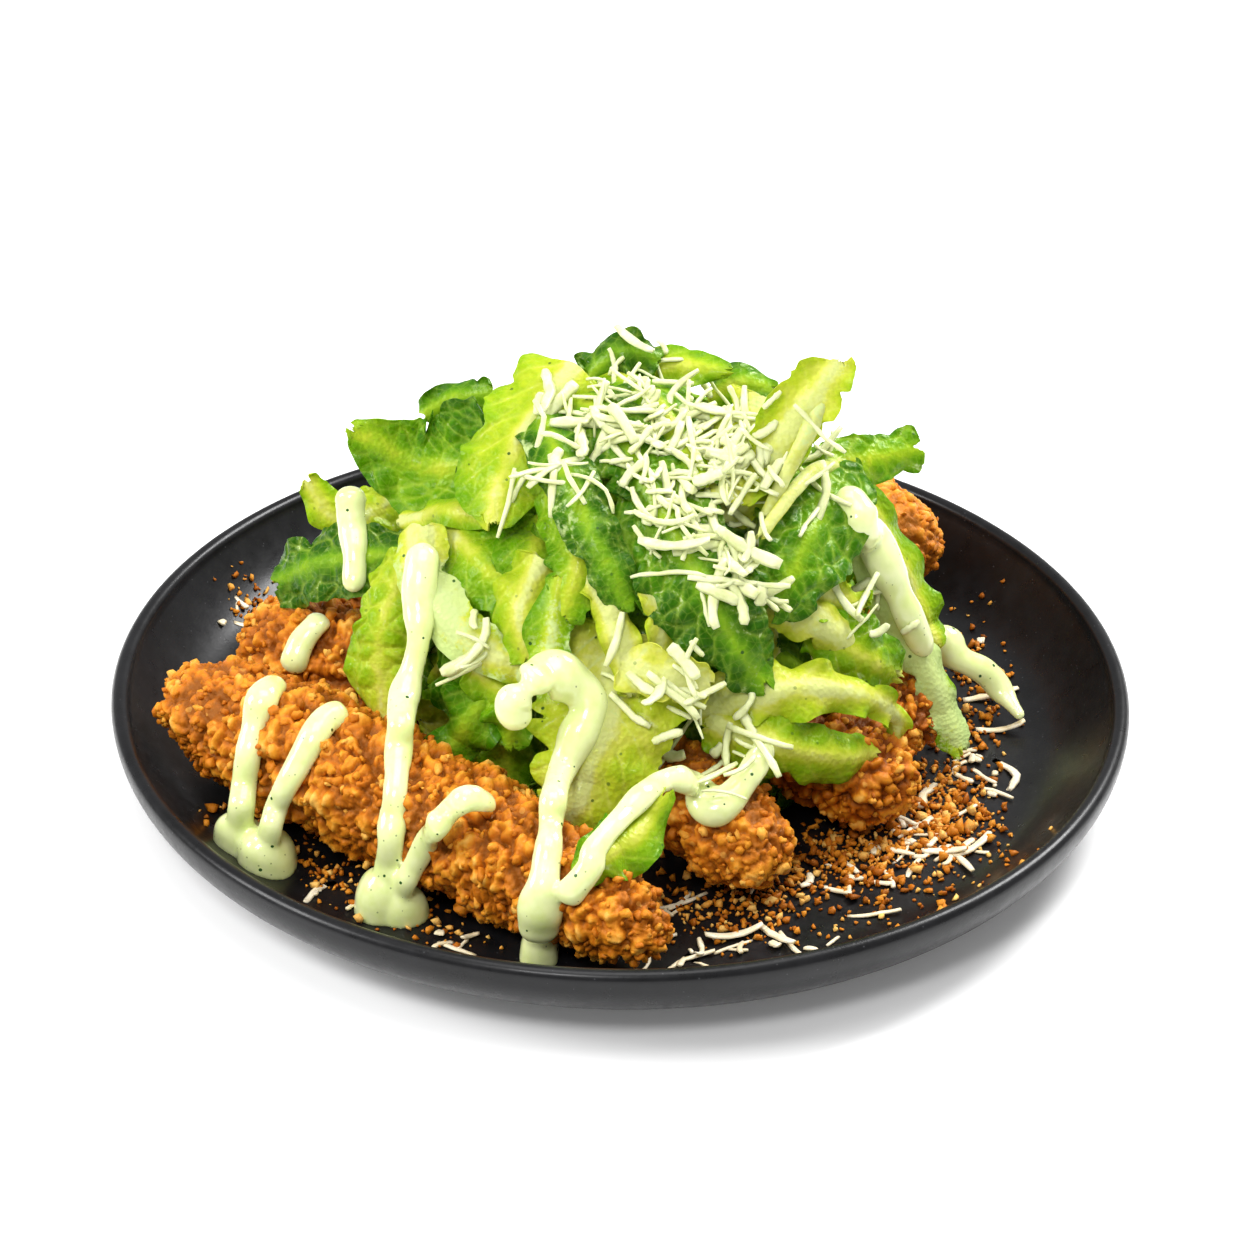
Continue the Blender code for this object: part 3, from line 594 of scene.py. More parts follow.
def plate_material():
    """Black satin stoneware: mottled near-black with fine pale specks and a slightly uneven sheen."""
    material, tree = new_material("black_stoneware_glaze")
    body = blend_colour(tree, mottle(tree, 60.0), srgb(13, 13, 14), srgb(22, 22, 24))
    specked = blend_colour(tree, flecks(tree, 900.0, 0.16, 0.10), body, srgb(58, 58, 60))
    rough = spread(tree, mottle(tree, 240.0), 0.0, 1.0, 0.27, 0.38)
    height = noise_at(tree, 1500.0, 2.0)
    bump = put(tree, "ShaderNodeBump", {"Height": height, "Strength": 0.12, "Distance": 0.0002})
    shader = put(tree, "ShaderNodeBsdfPrincipled", {
        "Base Color": specked, "Roughness": rough, "Normal": bump.outputs[0],
        "Specular IOR Level": 0.22, "Coat Weight": 0.09, "Coat Roughness": 0.16})
    close_material(tree, shader.outputs[0])
    return material


def crumb_material(name, brown_and_crevice_shade, body, crest, pale_and_crest_highlight):
    """Fried crumb, coloured by its relief mark. On a tender's surface the mark is the crumb's height, so deep
    brown between the grains is painted shade and pale gold on the highest grains is a painted highlight, with
    golden in between; on loose grains the mark is random. Some grains are pale at random.
    """
    material, tree = new_material(name)
    relief = mark(tree, "relief")
    shade = calculate(tree, "ADD", relief, spread(tree, mottle(tree, 70.0), 0, 1, -0.16, 0.16), clamp=True)
    # Low relief gets painted shade, deep brown in the crevices; the highest gets a painted highlight, pale
    # gold.
    colour = ramp(tree, shade, ((0.14, brown_and_crevice_shade), (0.44, body), (0.72, crest), (0.94, pale_and_crest_highlight)))
    gold = blend_colour(tree, mark(tree, "gold"), colour, crest)
    light = flecks(tree, 420.0, 0.34, 0.08)
    specked = blend_colour(tree, calculate(tree, "MULTIPLY", light, 0.30), gold, pale_and_crest_highlight)
    rough = spread(tree, mottle(tree, 500.0), 0.0, 1.0, 0.34, 0.62)
    bump = put(tree, "ShaderNodeBump", {"Height": noise_at(tree, 1300.0, 4.0, 0.6), "Strength": 0.6,
                                        "Distance": 0.0005})
    shader = put(tree, "ShaderNodeBsdfPrincipled", {
        "Base Color": specked, "Roughness": rough, "Normal": bump.outputs[0],
        "Specular IOR Level": 0.35, "Specular Tint": (1.0, 0.85, 0.5, 1.0), "Subsurface Weight": 0.10,
        "Subsurface Radius": (0.0018, 0.0009, 0.0004), "Subsurface Scale": 1.0})
    close_material(tree, shader.outputs[0])
    return material


LEAF_STOPS = ((0.00, srgb(228, 230, 150)), (0.12, srgb(218, 218, 88)), (0.26, srgb(190, 204, 42)),
              (0.45, srgb(146, 184, 14)), (0.65, srgb(102, 156, 4)), (0.84, srgb(64, 124, 2)),
              (1.00, srgb(36, 92, 2)))
FILM_WHITE = srgb(210, 228, 156)


def leaf_material():
    """Romaine: its tone runs from cream ribs to dark blades, with paler veins, a film of dressing
    with herb flecks, a waxy sheen, and light that comes through."""
    material, tree = new_material("romaine_leaf")
    tone = calculate(tree, "ADD", mark(tree, "tone"),
                     spread(tree, mottle(tree, 160.0), 0, 1, -0.07, 0.07), clamp=True)
    blade = ramp(tree, tone, LEAF_STOPS)
    pale_vein = blend_colour(tree, 0.55, blade, srgb(198, 220, 88))
    veined = blend_colour(tree, calculate(tree, "MULTIPLY", mark(tree, "vein"), 0.75), blade, pale_vein)
    sheet = put(tree, "ShaderNodeUVMap", uv_map="sheet").outputs[0]
    net = put(tree, "ShaderNodeTexVoronoi", {"Vector": sheet, "Scale": 60.0},
              feature="DISTANCE_TO_EDGE", voronoi_dimensions="2D")
    threads = spread(tree, net.outputs["Distance"], 0.0, 0.08, 0.30, 0.0)
    threaded = blend_colour(tree, threads, veined, pale_vein)
    wet = calculate(tree, "ADD", mark(tree, "film"), spread(tree, mottle(tree, 330.0), 0, 1, -0.30, 0.30))
    on_ridges = calculate(tree, "ADD", wet, calculate(tree, "MULTIPLY", mark(tree, "vein"), 0.60))
    film = spread(tree, on_ridges, 0.58, 0.86)
    coated = blend_colour(tree, calculate(tree, "MULTIPLY", film, 0.78), threaded, FILM_WHITE)
    herbs = calculate(tree, "MULTIPLY", flecks(tree, 330.0, 0.14, 0.22),
                      spread(tree, mark(tree, "film"), 0.0, 0.2, 0.5, 1.0))
    colour = blend_colour(tree, herbs, coated, HERB_GREEN)
    rough = spread(tree, mottle(tree, 300.0), 0.0, 1.0, 0.22, 0.42)
    small = put(tree, "ShaderNodeTexVoronoi", {"Vector": sheet, "Scale": 95.0}, voronoi_dimensions="2D")
    height = calculate(tree, "ADD", small.outputs["Distance"], noise_at(tree, 700.0, 3.0))
    bump = put(tree, "ShaderNodeBump", {"Height": height, "Strength": 0.45, "Distance": 0.0004})
    wax = put(tree, "ShaderNodeBsdfPrincipled", {
        "Base Color": colour, "Roughness": rough, "Normal": bump.outputs[0],
        "Specular IOR Level": 0.30, "Specular Tint": (0.80, 0.95, 0.30, 1.0),
        "Coat Weight": 0.10, "Coat Roughness": 0.10})
    glow = put(tree, "ShaderNodeBsdfTranslucent", {
        "Color": blend_colour(tree, 0.40, colour, srgb(196, 222, 30)), "Normal": bump.outputs[0]})
    both = put(tree, "ShaderNodeMixShader", {0: 0.30, 1: wax.outputs[0], 2: glow.outputs[0]})
    close_material(tree, both.outputs[0])
    return material


def dressing_material():
    """Thick herb dressing: pale green, a little blotchy, with dark green flecks and a wet gloss."""
    material, tree = new_material("herb_dressing")
    body = blend_colour(tree, mottle(tree, 90.0), DRESSING_GREEN, DRESSING_PALE)
    big = blend_colour(tree, flecks(tree, 300.0, 0.13, 0.34), body, HERB_GREEN)
    colour = blend_colour(tree, calculate(tree, "MULTIPLY", flecks(tree, 700.0, 0.16, 0.20), 0.55),
                          big, HERB_GREEN)
    bump = put(tree, "ShaderNodeBump", {"Height": noise_at(tree, 260.0, 2.0), "Strength": 0.20,
                                        "Distance": 0.0005})
    shader = put(tree, "ShaderNodeBsdfPrincipled", {
        "Base Color": colour, "Roughness": 0.18, "Normal": bump.outputs[0],
        "Subsurface Weight": 0.25, "Subsurface Radius": (0.0030, 0.0032, 0.0015),
        "Subsurface Scale": 1.0, "Coat Weight": 0.5, "Coat Roughness": 0.04})
    close_material(tree, shader.outputs[0])
    return material


def cheese_material(name, first, second):
    """Grated hard cheese: off-white, slightly mottled and slightly see-through."""
    material, tree = new_material(name)
    colour = blend_colour(tree, mottle(tree, 260.0), first, second)
    bump = put(tree, "ShaderNodeBump", {"Height": noise_at(tree, 1300.0, 3.0), "Strength": 0.3,
                                        "Distance": 0.0002})
    shader = put(tree, "ShaderNodeBsdfPrincipled", {
        "Base Color": colour, "Roughness": 0.42, "Normal": bump.outputs[0],
        "Subsurface Weight": 0.22, "Subsurface Radius": (0.0016, 0.0014, 0.0009),
        "Subsurface Scale": 1.0})
    close_material(tree, shader.outputs[0])
    return material


# ---------------------------------------------------------------- plate
def make_plate(material):
    """The plate: one profile of radius and height, turned round Z. The well is flat, the wall rises
    with a power of its share, the lip is a half circle, the outside a quarter ellipse."""
    lip = LIP_WIDTH / 2
    lip_height = PLATE_HEIGHT - lip
    inner = PLATE_RADIUS - LIP_WIDTH
    share = np.linspace(0, 1, 30)[1:]
    turn = np.linspace(math.pi, 0, 17)[1:]
    side = np.linspace(math.pi / 2, 0, 29)[1:]
    well = np.stack((np.linspace(0.004, WELL_RADIUS, 14), np.full(14, WELL_TOP)))
    wall = np.stack((WELL_RADIUS + (inner - WELL_RADIUS) * share,
                     WELL_TOP + (lip_height - WELL_TOP) * share ** WALL_POWER))
    rim = np.stack((PLATE_RADIUS - lip + lip * np.cos(turn), lip_height + lip * np.sin(turn)))
    outside = np.stack((FOOT_RADIUS + (PLATE_RADIUS - FOOT_RADIUS) * np.sin(side),
                        FOOT_HEIGHT + (lip_height - FOOT_HEIGHT) * (1 - np.cos(side))))
    foot = np.array(((FOOT_RADIUS - FOOT_BEVEL * 0.3, FOOT_HEIGHT * 0.45), (FOOT_RADIUS - FOOT_BEVEL, 0.0),
                     (FOOT_RADIUS - FOOT_WIDTH, 0.0), (FOOT_RADIUS - FOOT_WIDTH - RECESS_SLOPE, RECESS),
                     (0.004, RECESS))).T
    radius, height = np.concatenate((well, wall, rim, outside, foot), axis=1)
    angle = np.linspace(0, math.tau, PLATE_TURNS, endpoint=False)[None, :]
    rings = np.stack((radius[:, None] * np.cos(angle), radius[:, None] * np.sin(angle),
                      np.broadcast_to(height[:, None], (len(radius), PLATE_TURNS))), axis=-1)
    vertices = np.concatenate((rings.reshape(-1, 3), ((0, 0, WELL_TOP), (0, 0, RECESS))))
    body = grid_faces(len(radius), PLATE_TURNS, wrap=True)[:, ::-1]
    ends = end_faces(len(radius), PLATE_TURNS, True)
    plate = build_piece("plate_stoneware", vertices, (body, ends), material)
    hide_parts("plate")
    return plate


def plate_height(x, y):
    """Height of the plate's upper side: flat in the well, then the wall's power curve."""
    share = (np.hypot(x, y) - WELL_RADIUS) / (PLATE_RADIUS - LIP_WIDTH - WELL_RADIUS)
    rise = PLATE_HEIGHT - LIP_WIDTH / 2 - WELL_TOP
    return WELL_TOP + rise * np.clip(share, 0, 1) ** WALL_POWER


# ---------------------------------------------------------------- tenders
def tender_surface(index, tail, tip, half_width, flatness, narrowing, bow, rough):
    """A tender's crumbed surface. Its smooth base is the frame's form: girth is the root of one
    less the fourth power of the share along it. Clumps of noise, three sizes of round grains at
    places shifted by noise, and a fine grit of noise are added along the base's own normals."""
    tail, tip = np.array(tail), np.array(tip)
    along = unit(tip - tail)
    side = unit(np.cross((0.0, 0.0, 1.0), along))
    over = np.cross(along, side)
    half_length = np.linalg.norm(tip - tail) / 2 - CRUMB_DEPTH * rough
    half_width = half_width - CRUMB_DEPTH * rough
    fine = np.linspace(-1, 1, 4001)
    outline = np.stack((fine * half_length, half_width * np.sqrt(np.maximum(1 - fine ** END_POWER, 0))))
    run = np.concatenate(([0], np.cumsum(np.linalg.norm(np.diff(outline), axis=0))))
    rows = int(run[-1] / CRUMB_STEP)
    columns = int(math.tau * half_width / CRUMB_STEP)
    share = np.interp(np.linspace(0, run[-1], rows + 2)[1:-1], run, fine)[:, None]
    angle = np.linspace(0, math.tau, columns, endpoint=False)[None, :]
    cosine, sine = np.cos(angle), np.sin(angle)
    spot = np.stack((share * 2.2 + 0 * angle, cosine * 0.8 + 0 * share, sine * 0.8 + 0 * share), axis=-1)
    swell = 1 + 0.07 * smooth_noise(spot, 0.8, index + 40)
    radius = half_width * np.sqrt(1 - share ** END_POWER) * (1 - narrowing * share) * swell
    across = cosine * radius + bow * np.cos(share * math.pi / 2)
    base = ((tail + tip) / 2 + along * (share * half_length + 0 * angle)[..., None]
            + side * across[..., None] + over * (sine * radius * flatness)[..., None])
    round_base = np.concatenate((base[:, -1:], base, base[:, :1]), axis=1)
    normal = unit(np.cross(np.gradient(round_base, axis=1), np.gradient(round_base, axis=0)))[:, 1:-1]
    clump = 1.5 * smooth_noise(base, 0.012, index) + 1.0 * smooth_noise(base, 0.0060, index + 7)
    warped = base
    for size, reach, seeds in ((0.0042, 0.0010, (20, 21, 22)), (0.0013, 0.00045, (23, 24, 25))):
        pushes = [smooth_noise(base, size, index + seed) for seed in seeds]
        warped = warped + reach * np.stack(pushes, axis=-1)
    large = grains(warped, 0.0044, index + 3)
    middle = grains(warped, 0.0025, index + 5)
    small = grains(warped, 0.0013, index + 9)
    fine_grit = smooth_noise(base, 0.0008, index + 11)
    crumb = 0.60 * large + 1.05 * middle + 0.60 * small + 0.00012 * fine_grit
    height = rough * (clump * MM + crumb)
    surface = base + normal * height[..., None]
    # relief is the crumb's height; the crumb material paints shade into its low places and a highlight onto
    # its high ones.
    relief = np.clip((crumb - 0.0009) / 0.0032, 0, 1) * 0.9 + 0.10 * clump
    poles = np.stack((surface[0].mean(axis=0), surface[-1].mean(axis=0)))
    vertices = np.concatenate((surface.reshape(-1, 3), poles))
    faces = (grid_faces(rows, columns, wrap=True), end_faces(rows, columns, False))
    marks = np.concatenate((np.clip(relief, 0, 1).ravel(), (0.5, 0.5)))
    return vertices, faces, marks, normal.reshape(-1, 3)


def make_tenders(material):
    """The tenders, each standing for its node, and the loose grains that sit on them all."""
    rng = np.random.default_rng(5)
    pieces, places, golds = [], [], []
    for index, (node, *form, gold) in enumerate(TENDERS):
        vertices, faces, relief, normal = tender_surface(index, *form)
        marks = {"relief": relief, "gold": np.full(len(relief), gold * 0.35)}
        piece = build_piece(node + "_crumbed", vertices, faces, material, marks=marks)
        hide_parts(node)
        pieces.append(piece)
        count = int(len(normal) / 80 * form[-1])
        chosen = rng.choice(len(normal), count, replace=False)
        places.append(vertices[chosen] + normal[chosen] * rng.uniform(-0.0002, 0.0004, (count, 1)))
        golds.append(np.full(count, gold))
    places, golds = np.concatenate(places), np.concatenate(golds)
    count = len(places)
    shape, faces = grain_shape(3, 7, 2, 0.60)
    size = rng.uniform(0.00045, 0.00150, (count, 1)) * rng.uniform(0.55, 1.15, (count, 3))
    vertices, faces = scattered(shape, faces, places, random_turns(rng, count), size)
    per_grain = len(shape)
    marks = {"relief": np.repeat(rng.uniform(0.30, 0.85, count), per_grain),
             "gold": np.repeat(golds * 0.35, per_grain)}
    build_piece("loose_crumb_grains", vertices, (faces,), material, marks=marks)
    return pieces


# ---------------------------------------------------------------- leaves
def heap_outwards(points):
    """The direction straight out of the heap's ellipsoid at the points, which are in mm."""
    return unit((points - HEAP_CENTRE) / HEAP_RADII ** 2)


def leaf_shell(form, seed, step=LEAF_STEP):
    """A leaf as a closed thin shell. u runs across it from -1 to 1 and v along it from 0 to 1.
    Its spine is a smooth curve; each row is an arc of the cup angle, as wide as the width curve
    times ragged noise and a few torn notches; ruffles grow with a power of u; creases are the
    absolute value of noise; blisters are domes of cell noise with the veins between them; the rib
    thickens the middle."""
    spine = np.array(form["spine"], dtype=float)
    length = np.linalg.norm(np.diff(spine, axis=0), axis=1).sum() * MM
    half = np.array(form["width"], dtype=float) * MM / 2
    rows = int(np.clip(length / step, 18, 150))
    columns = int(np.clip(2.2 * half.max() / step, 11, 80))
    v = np.linspace(0, 1, rows)[:, None] + np.zeros((1, columns))
    u = np.linspace(-1, 1, columns)[None, :] + np.zeros((rows, 1))
    zero = np.zeros_like(u)

    def wave(a, b, size, layer):
        """Smooth noise over two flat coordinates."""
        return smooth_noise(np.stack((a, b, zero + 3.7 * layer), axis=-1), size, seed)

    ragged = form["ragged"]
    begin = ragged * (0.25 + 0.25 * wave(u, zero, 0.35, 1))
    end = 1 - ragged * (0.5 + 0.5 * wave(u, zero, 0.30, 2) + 0.2 * wave(u, zero, 0.09, 3))
    end = end + form["slant"] * u * half[-1] / length
    s = begin + (end - begin) * v
    hand = np.sign(u)
    edge = 1 + ragged * (1.1 * wave(s * length, hand, 0.0065, 4)
                         + 0.9 * (0.5 - 1.6 * np.abs(wave(s * length, hand, 0.0026, 5))))
    rng = np.random.default_rng(seed)
    for _ in range(TEARS):
        place, depth, breadth = rng.uniform(0.08, 0.95), rng.uniform(0.1, 0.5), rng.uniform(0.0008, 0.0026)
        tear = np.exp(-np.abs((s - place) * length / breadth) ** 1.3)
        edge = edge - depth * min(ragged * 8, 1) * tear * (hand == rng.choice((-1, 1)))
    corner = 0.45 + 0.55 * np.sqrt(1 - np.abs(2 * v - 1) ** 40)
    wide = np.maximum(through(half, s)[..., 0], 0.0008)
    wide = wide * corner * (1 + (edge - 1) * np.abs(u) ** 2.5)
    x_flat, y_flat = u * wide, s * length

    core = through(spine, s)
    tangent = unit(through(spine, s + 0.01) - through(spine, s - 0.01))
    if form["face"] is None:
        facing = heap_outwards(core)
    else:
        facing = unit(np.array(form["face"], dtype=float)) + np.zeros_like(core)
    facing = unit(facing - tangent * (facing * tangent).sum(axis=-1, keepdims=True))
    side = np.cross(tangent, facing)
    angle = np.radians(form["roll"] + form["twist"] * (s - 0.5))[..., None]
    side, facing = (side * np.cos(angle) + facing * np.sin(angle),
                    facing * np.cos(angle) - side * np.sin(angle))

    bend = math.radians(form["cup"]) * (1 + 0.45 * wave(s * length, zero, 0.016, 12)) + 0.001
    lateral = np.sin(bend * u) / bend * wide
    drop = (1 - np.cos(bend * u)) / bend * wide
    sway = s * length / 0.0115 * math.tau + 2.2 * wave(s * length, hand, 0.012, 6) + hand * 1.3 + seed
    frill = form["ruffle"] * MM * np.abs(u) ** 2.2 * np.sin(sway)
    crease = np.abs(wave(x_flat, y_flat, 0.0105, 7)) - 0.3
    crumple = MM * (1.0 * wave(x_flat, y_flat, 0.018, 7) + 1.7 * crease
                    + 0.22 * wave(x_flat, y_flat, 0.0045, 8))

    rib_width = 0.0007 + 0.0011 * form["rib"] + 0.04 * half.max()
    ribbed = np.exp(-(x_flat / rib_width) ** 2) * (1 - 0.45 * s) * min(form["rib"], 1.0)
    away = 1 - np.exp(-(x_flat / (1.6 * rib_width)) ** 2)
    flat = np.stack((x_flat, y_flat, zero + seed), axis=-1)
    flat[..., 0] += 0.0011 * wave(x_flat, y_flat, 0.005, 13)
    flat[..., 1] += 0.0011 * wave(x_flat, y_flat, 0.005, 14)
    near, second = nearest_spots(flat, 0.0050, seed, flat=True)
    gap = second - near
    dome = 1 - np.exp(-(gap / 0.30) ** 2)
    net = np.exp(-(gap / 0.12) ** 2)
    phase = (y_flat - 1.15 * np.abs(x_flat)) / 0.0072 + 0.25 * wave(x_flat, y_flat, 0.009, 9) + hand * 0.23
    branch = np.exp(-((phase - np.round(phase)) * 0.0048 / 0.00042) ** 2) * away * (1 - np.abs(u) ** 4)
    blister = form["blister"] * MM
    relief = (blister * (0.62 * dome - 0.40 * np.minimum(near, 1)) * away - 0.00025 * branch
              + 0.0004 * form["rib"] * ribbed)

    middle = (core * MM + side * (lateral + 0.25 * frill * hand)[..., None]
              + facing * (relief + frill + crumple - drop)[..., None])
    normal = unit(np.cross(np.gradient(middle, axis=1), np.gradient(middle, axis=0)))
    thick = (LEAF_THICKNESS * (1 - 0.45 * np.abs(u) ** 6) + form["rib"] * MM * 0.9 * ribbed) / 2
    top = middle + normal * thick[..., None]
    bottom = middle - normal * thick[..., None]
    ground = plate_height(middle[..., 0], middle[..., 1])
    top[..., 2] = np.maximum(top[..., 2], ground + 0.0009)
    bottom[..., 2] = np.maximum(bottom[..., 2], ground + 0.0003)

    count = rows * columns
    faces = grid_faces(rows, columns)
    across = np.arange(columns - 1)
    upward = np.arange(rows - 1) * columns
    border = np.concatenate((across, upward + columns - 1, count - 1 - across,
                             count - columns - upward))
    follow = np.roll(border, -1)
    rim = np.stack((follow, border, border + count, follow + count), axis=-1)
    vertices = np.concatenate((top.reshape(-1, 3), bottom.reshape(-1, 3)))
    low, high = form["tone"]
    tone = (low + (high - low) * s + 0.14 * u ** 2 - 0.42 * ribbed - 0.12 * branch
            + 0.11 * wave(x_flat, y_flat, 0.008, 10) + 0.12 * (dome - 0.5) * min(form["blister"] * 1.4, 1))
    vein = np.clip(net * min(form["blister"], 1.0) * away * 0.65 + 0.75 * branch + 0.4 * ribbed, 0, 1)
    patches = 0.5 + 0.9 * wave(x_flat, y_flat, 0.0075, 11)
    film = np.clip(form["film"] * 1.25 * patches + max(form["film"] - 0.6, 0) * 1.6, 0, 1)
    marks = {"tone": np.clip(tone, 0, 1), "vein": vein, "film": film}
    marks = {label: np.tile(numbers.ravel(), 2) for label, numbers in marks.items()}
    uv = np.tile(np.stack((0.5 + x_flat / 0.12, 0.1 + y_flat / 0.12), axis=-1).reshape(-1, 2), (2, 1))
    return vertices, (faces, faces[:, ::-1] + count, rim), marks, uv


def make_named_leaves(material):
    """The leaves that show, each a piece of its own."""
    pieces = []
    for seed, (name, form) in enumerate(LEAVES.items()):
        vertices, face_sets, marks, uv = leaf_shell(form, seed + 1)
        pieces.append(build_piece(name, vertices, face_sets, material, uv, marks, crisp=True))
    return pieces


def inner_leaf_form(rng, index):
    """A leaf lying on the heap: it starts at one of evenly turned places on the ellipsoid and runs
    over it in a random, mostly downward direction, rising a little off it towards its tip."""
    height = 1 - 0.93 * (index + 0.5) / INNER_LEAVES
    turn = index * 2.399963
    flat = math.sqrt(1 - height * height)
    start = np.array((flat * math.cos(turn), flat * math.sin(turn), height))
    down = np.array((start[0] * height, start[1] * height, -flat * flat)) + 1e-6
    sideways = np.cross(start, unit(down))
    heading = unit(unit(down) * rng.uniform(0.2, 1.0) + sideways * rng.uniform(-1.0, 1.0))
    reach = rng.uniform(0.34, 0.62)
    front = start[1] < 0.25
    lift = rng.uniform(-7, -3) if front else rng.uniform(-3, 3)
    rise = rng.uniform(0, 4) if front else rng.uniform(3, 11)
    spine = []
    for share in (-0.4, 0.0, 0.35, 0.7):
        place = unit(start + heading * reach * share * 1.6)
        place = HEAP_CENTRE + place * (HEAP_RADII + lift + rise * max(share, 0) ** 1.5)
        place[2] = max(place[2], 11.0)
        spine.append(tuple(place))
    wide = rng.uniform(15, 28)
    kind = rng.uniform()
    tone = (0.78, 0.92) if kind > 0.62 else (0.45, 0.62) if kind > 0.28 else (0.14, 0.30)
    return leaf(spine, (wide * 0.7, wide, wide * 0.9, wide * rng.uniform(0.3, 0.6)), tone,
                roll=rng.uniform(-25, 25), twist=rng.uniform(-40, 40), cup=rng.uniform(-35, 40),
                ruffle=rng.uniform(0.6, 2.4), blister=0.3 + 0.7 * tone[1], rib=rng.uniform(0.5, 1.5),
                film=rng.uniform(0, 0.5), ragged=0.16)


def make_inner_leaves(material):
    """The leaves between and behind the named ones, joined into one piece for each third of them."""
    rng = np.random.default_rng(INNER_SEED)
    pieces = []
    forms = [inner_leaf_form(rng, index) for index in range(INNER_LEAVES)]
    for part, name in enumerate(("inner_leaves_upper", "inner_leaves_middle", "inner_leaves_lower")):
        third = forms[part * INNER_LEAVES // 3:(part + 1) * INNER_LEAVES // 3]
        made = [leaf_shell(form, 100 + part * 40 + k, LEAF_STEP * 1.7) for k, form in enumerate(third)]
        vertices, faces = joined([shell[:2] for shell in made])
        marks = {label: np.concatenate([shell[2][label] for shell in made]) for label in made[0][2]}
        uv = np.concatenate([shell[3] for shell in made])
        pieces.append(build_piece(name, vertices, faces, material, uv, marks, crisp=True))
    return pieces


def make_core(material):
    """The heap's inside: an ellipsoid of latitude and longitude, dented by noise, that stands for the heap's
    solid and closes the gaps between leaves. Its dark lettuce tone is painted shade, seen through those gaps."""
    ball, quads, ends = ball_grid(60, 96)
    bump = 0.10 * smooth_noise(ball, 0.45, 1) + 0.05 * smooth_noise(ball, 0.18, 2)
    vertices = (HEAP_CENTRE + ball * CORE_RADII * (1 + bump)[:, None]) * MM
    vertices[:, 2] = np.maximum(vertices[:, 2], WELL_TOP + 0.0004)
    # Dark lettuce tone: painted shade for the heap's inside.
    tone = 0.80 + 0.2 * smooth_noise(ball, 0.3, 3)
    marks = {"tone": np.clip(tone, 0, 1), "vein": np.zeros(len(ball)), "film": np.zeros(len(ball))}
    uv = 0.5 + ball[:, :2] * 0.4
    core = build_piece("lettuce_core", vertices, (quads, ends), material, uv, marks)
    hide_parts("lettuce_heap")
    return core


# ---------------------------------------------------------------- what lies on the food
class Surfaces:
    """The nearest of several pieces that a ray meets."""

    def __init__(self, pieces):
        graph = bpy.context.evaluated_depsgraph_get()
        self.trees = [BVHTree.FromObject(piece, graph) for piece in pieces]

    def hit(self, start, direction):
        """The first place met from start along direction, and its normal; or None."""
        best = None
        for tree in self.trees:
            place, normal, _, distance = tree.ray_cast(Vector(start), Vector(direction))
            if place is not None and (best is None or distance < best[2]):
                best = (np.array(place), np.array(normal), distance)
        return best


def seen_depth(surfaces, point):
    """How far from the viewpoint the food lies on the line through the point, or None."""
    direction = unit(point - CAMERA_AT)
    found = surfaces.hit(CAMERA_AT, direction)
    return None if found is None else found[2]


def settle(surfaces, points, lift):
    """Brings each point of a path onto the food along the line of sight: its distance is that of
    the food there where that is within 12 mm of its own, then the nearest of five neighbours,
    smoothed by repeated averages of three that count the middle one twice."""
    away = np.linalg.norm(points - CAMERA_AT, axis=1)
    sight = (points - CAMERA_AT) / away[:, None]
    found = np.array([seen_depth(surfaces, point) or 9.0 for point in points])
    depth = np.where(np.abs(found - away) < 0.012, found, away)
    padded = np.pad(depth, 2, mode="edge")
    depth = np.min([padded[k:k + len(depth)] for k in range(5)], axis=0)
    for _ in range(SETTLE_PASSES):
        padded = np.pad(depth, 1, mode="edge")
        depth = (padded[:-2] + 2 * padded[1:-1] + padded[2:]) / 4
    return CAMERA_AT + sight * (depth - lift)[:, None]


def strand_tube(path, radius, seed, sides=20):
    """A thick strand: flattened rings carried along the path, facing the viewer and the sky, their
    radius uneven by noise and rounded off at both ends as a half circle is."""
    count = len(path)
    tangent = unit(np.gradient(path, axis=0))
    facing = unit(VIEW_BACK + (0, 0, 0.5)) + np.zeros_like(path)
    facing = unit(facing - tangent * (facing * tangent).sum(axis=1, keepdims=True))
    side = np.cross(tangent, facing)
    run = np.concatenate(([0], np.cumsum(np.linalg.norm(np.diff(path, axis=0), axis=1))))
    from_end = np.minimum(run, run[-1] - run) / radius
    round_off = np.sqrt(np.clip(1 - (1 - np.clip(from_end, 0.02, 1)) ** 2, 0, 1))
    uneven = 1 + 0.16 * smooth_noise(np.stack((run, run * 0, run * 0), axis=-1), 0.006, seed)
    girth = (radius * round_off * uneven)[:, None, None]
    angle = np.linspace(0, math.tau, sides, endpoint=False)[None, :, None]
    rings = (path[:, None] + girth * (side[:, None] * np.cos(angle)
                                      + facing[:, None] * np.sin(angle) * STRAND_FLATNESS))
    vertices = np.concatenate((rings.reshape(-1, 3), path[:1], path[-1:]))
    return vertices, (grid_faces(count, sides, wrap=True)[:, ::-1], end_faces(count, sides, True))


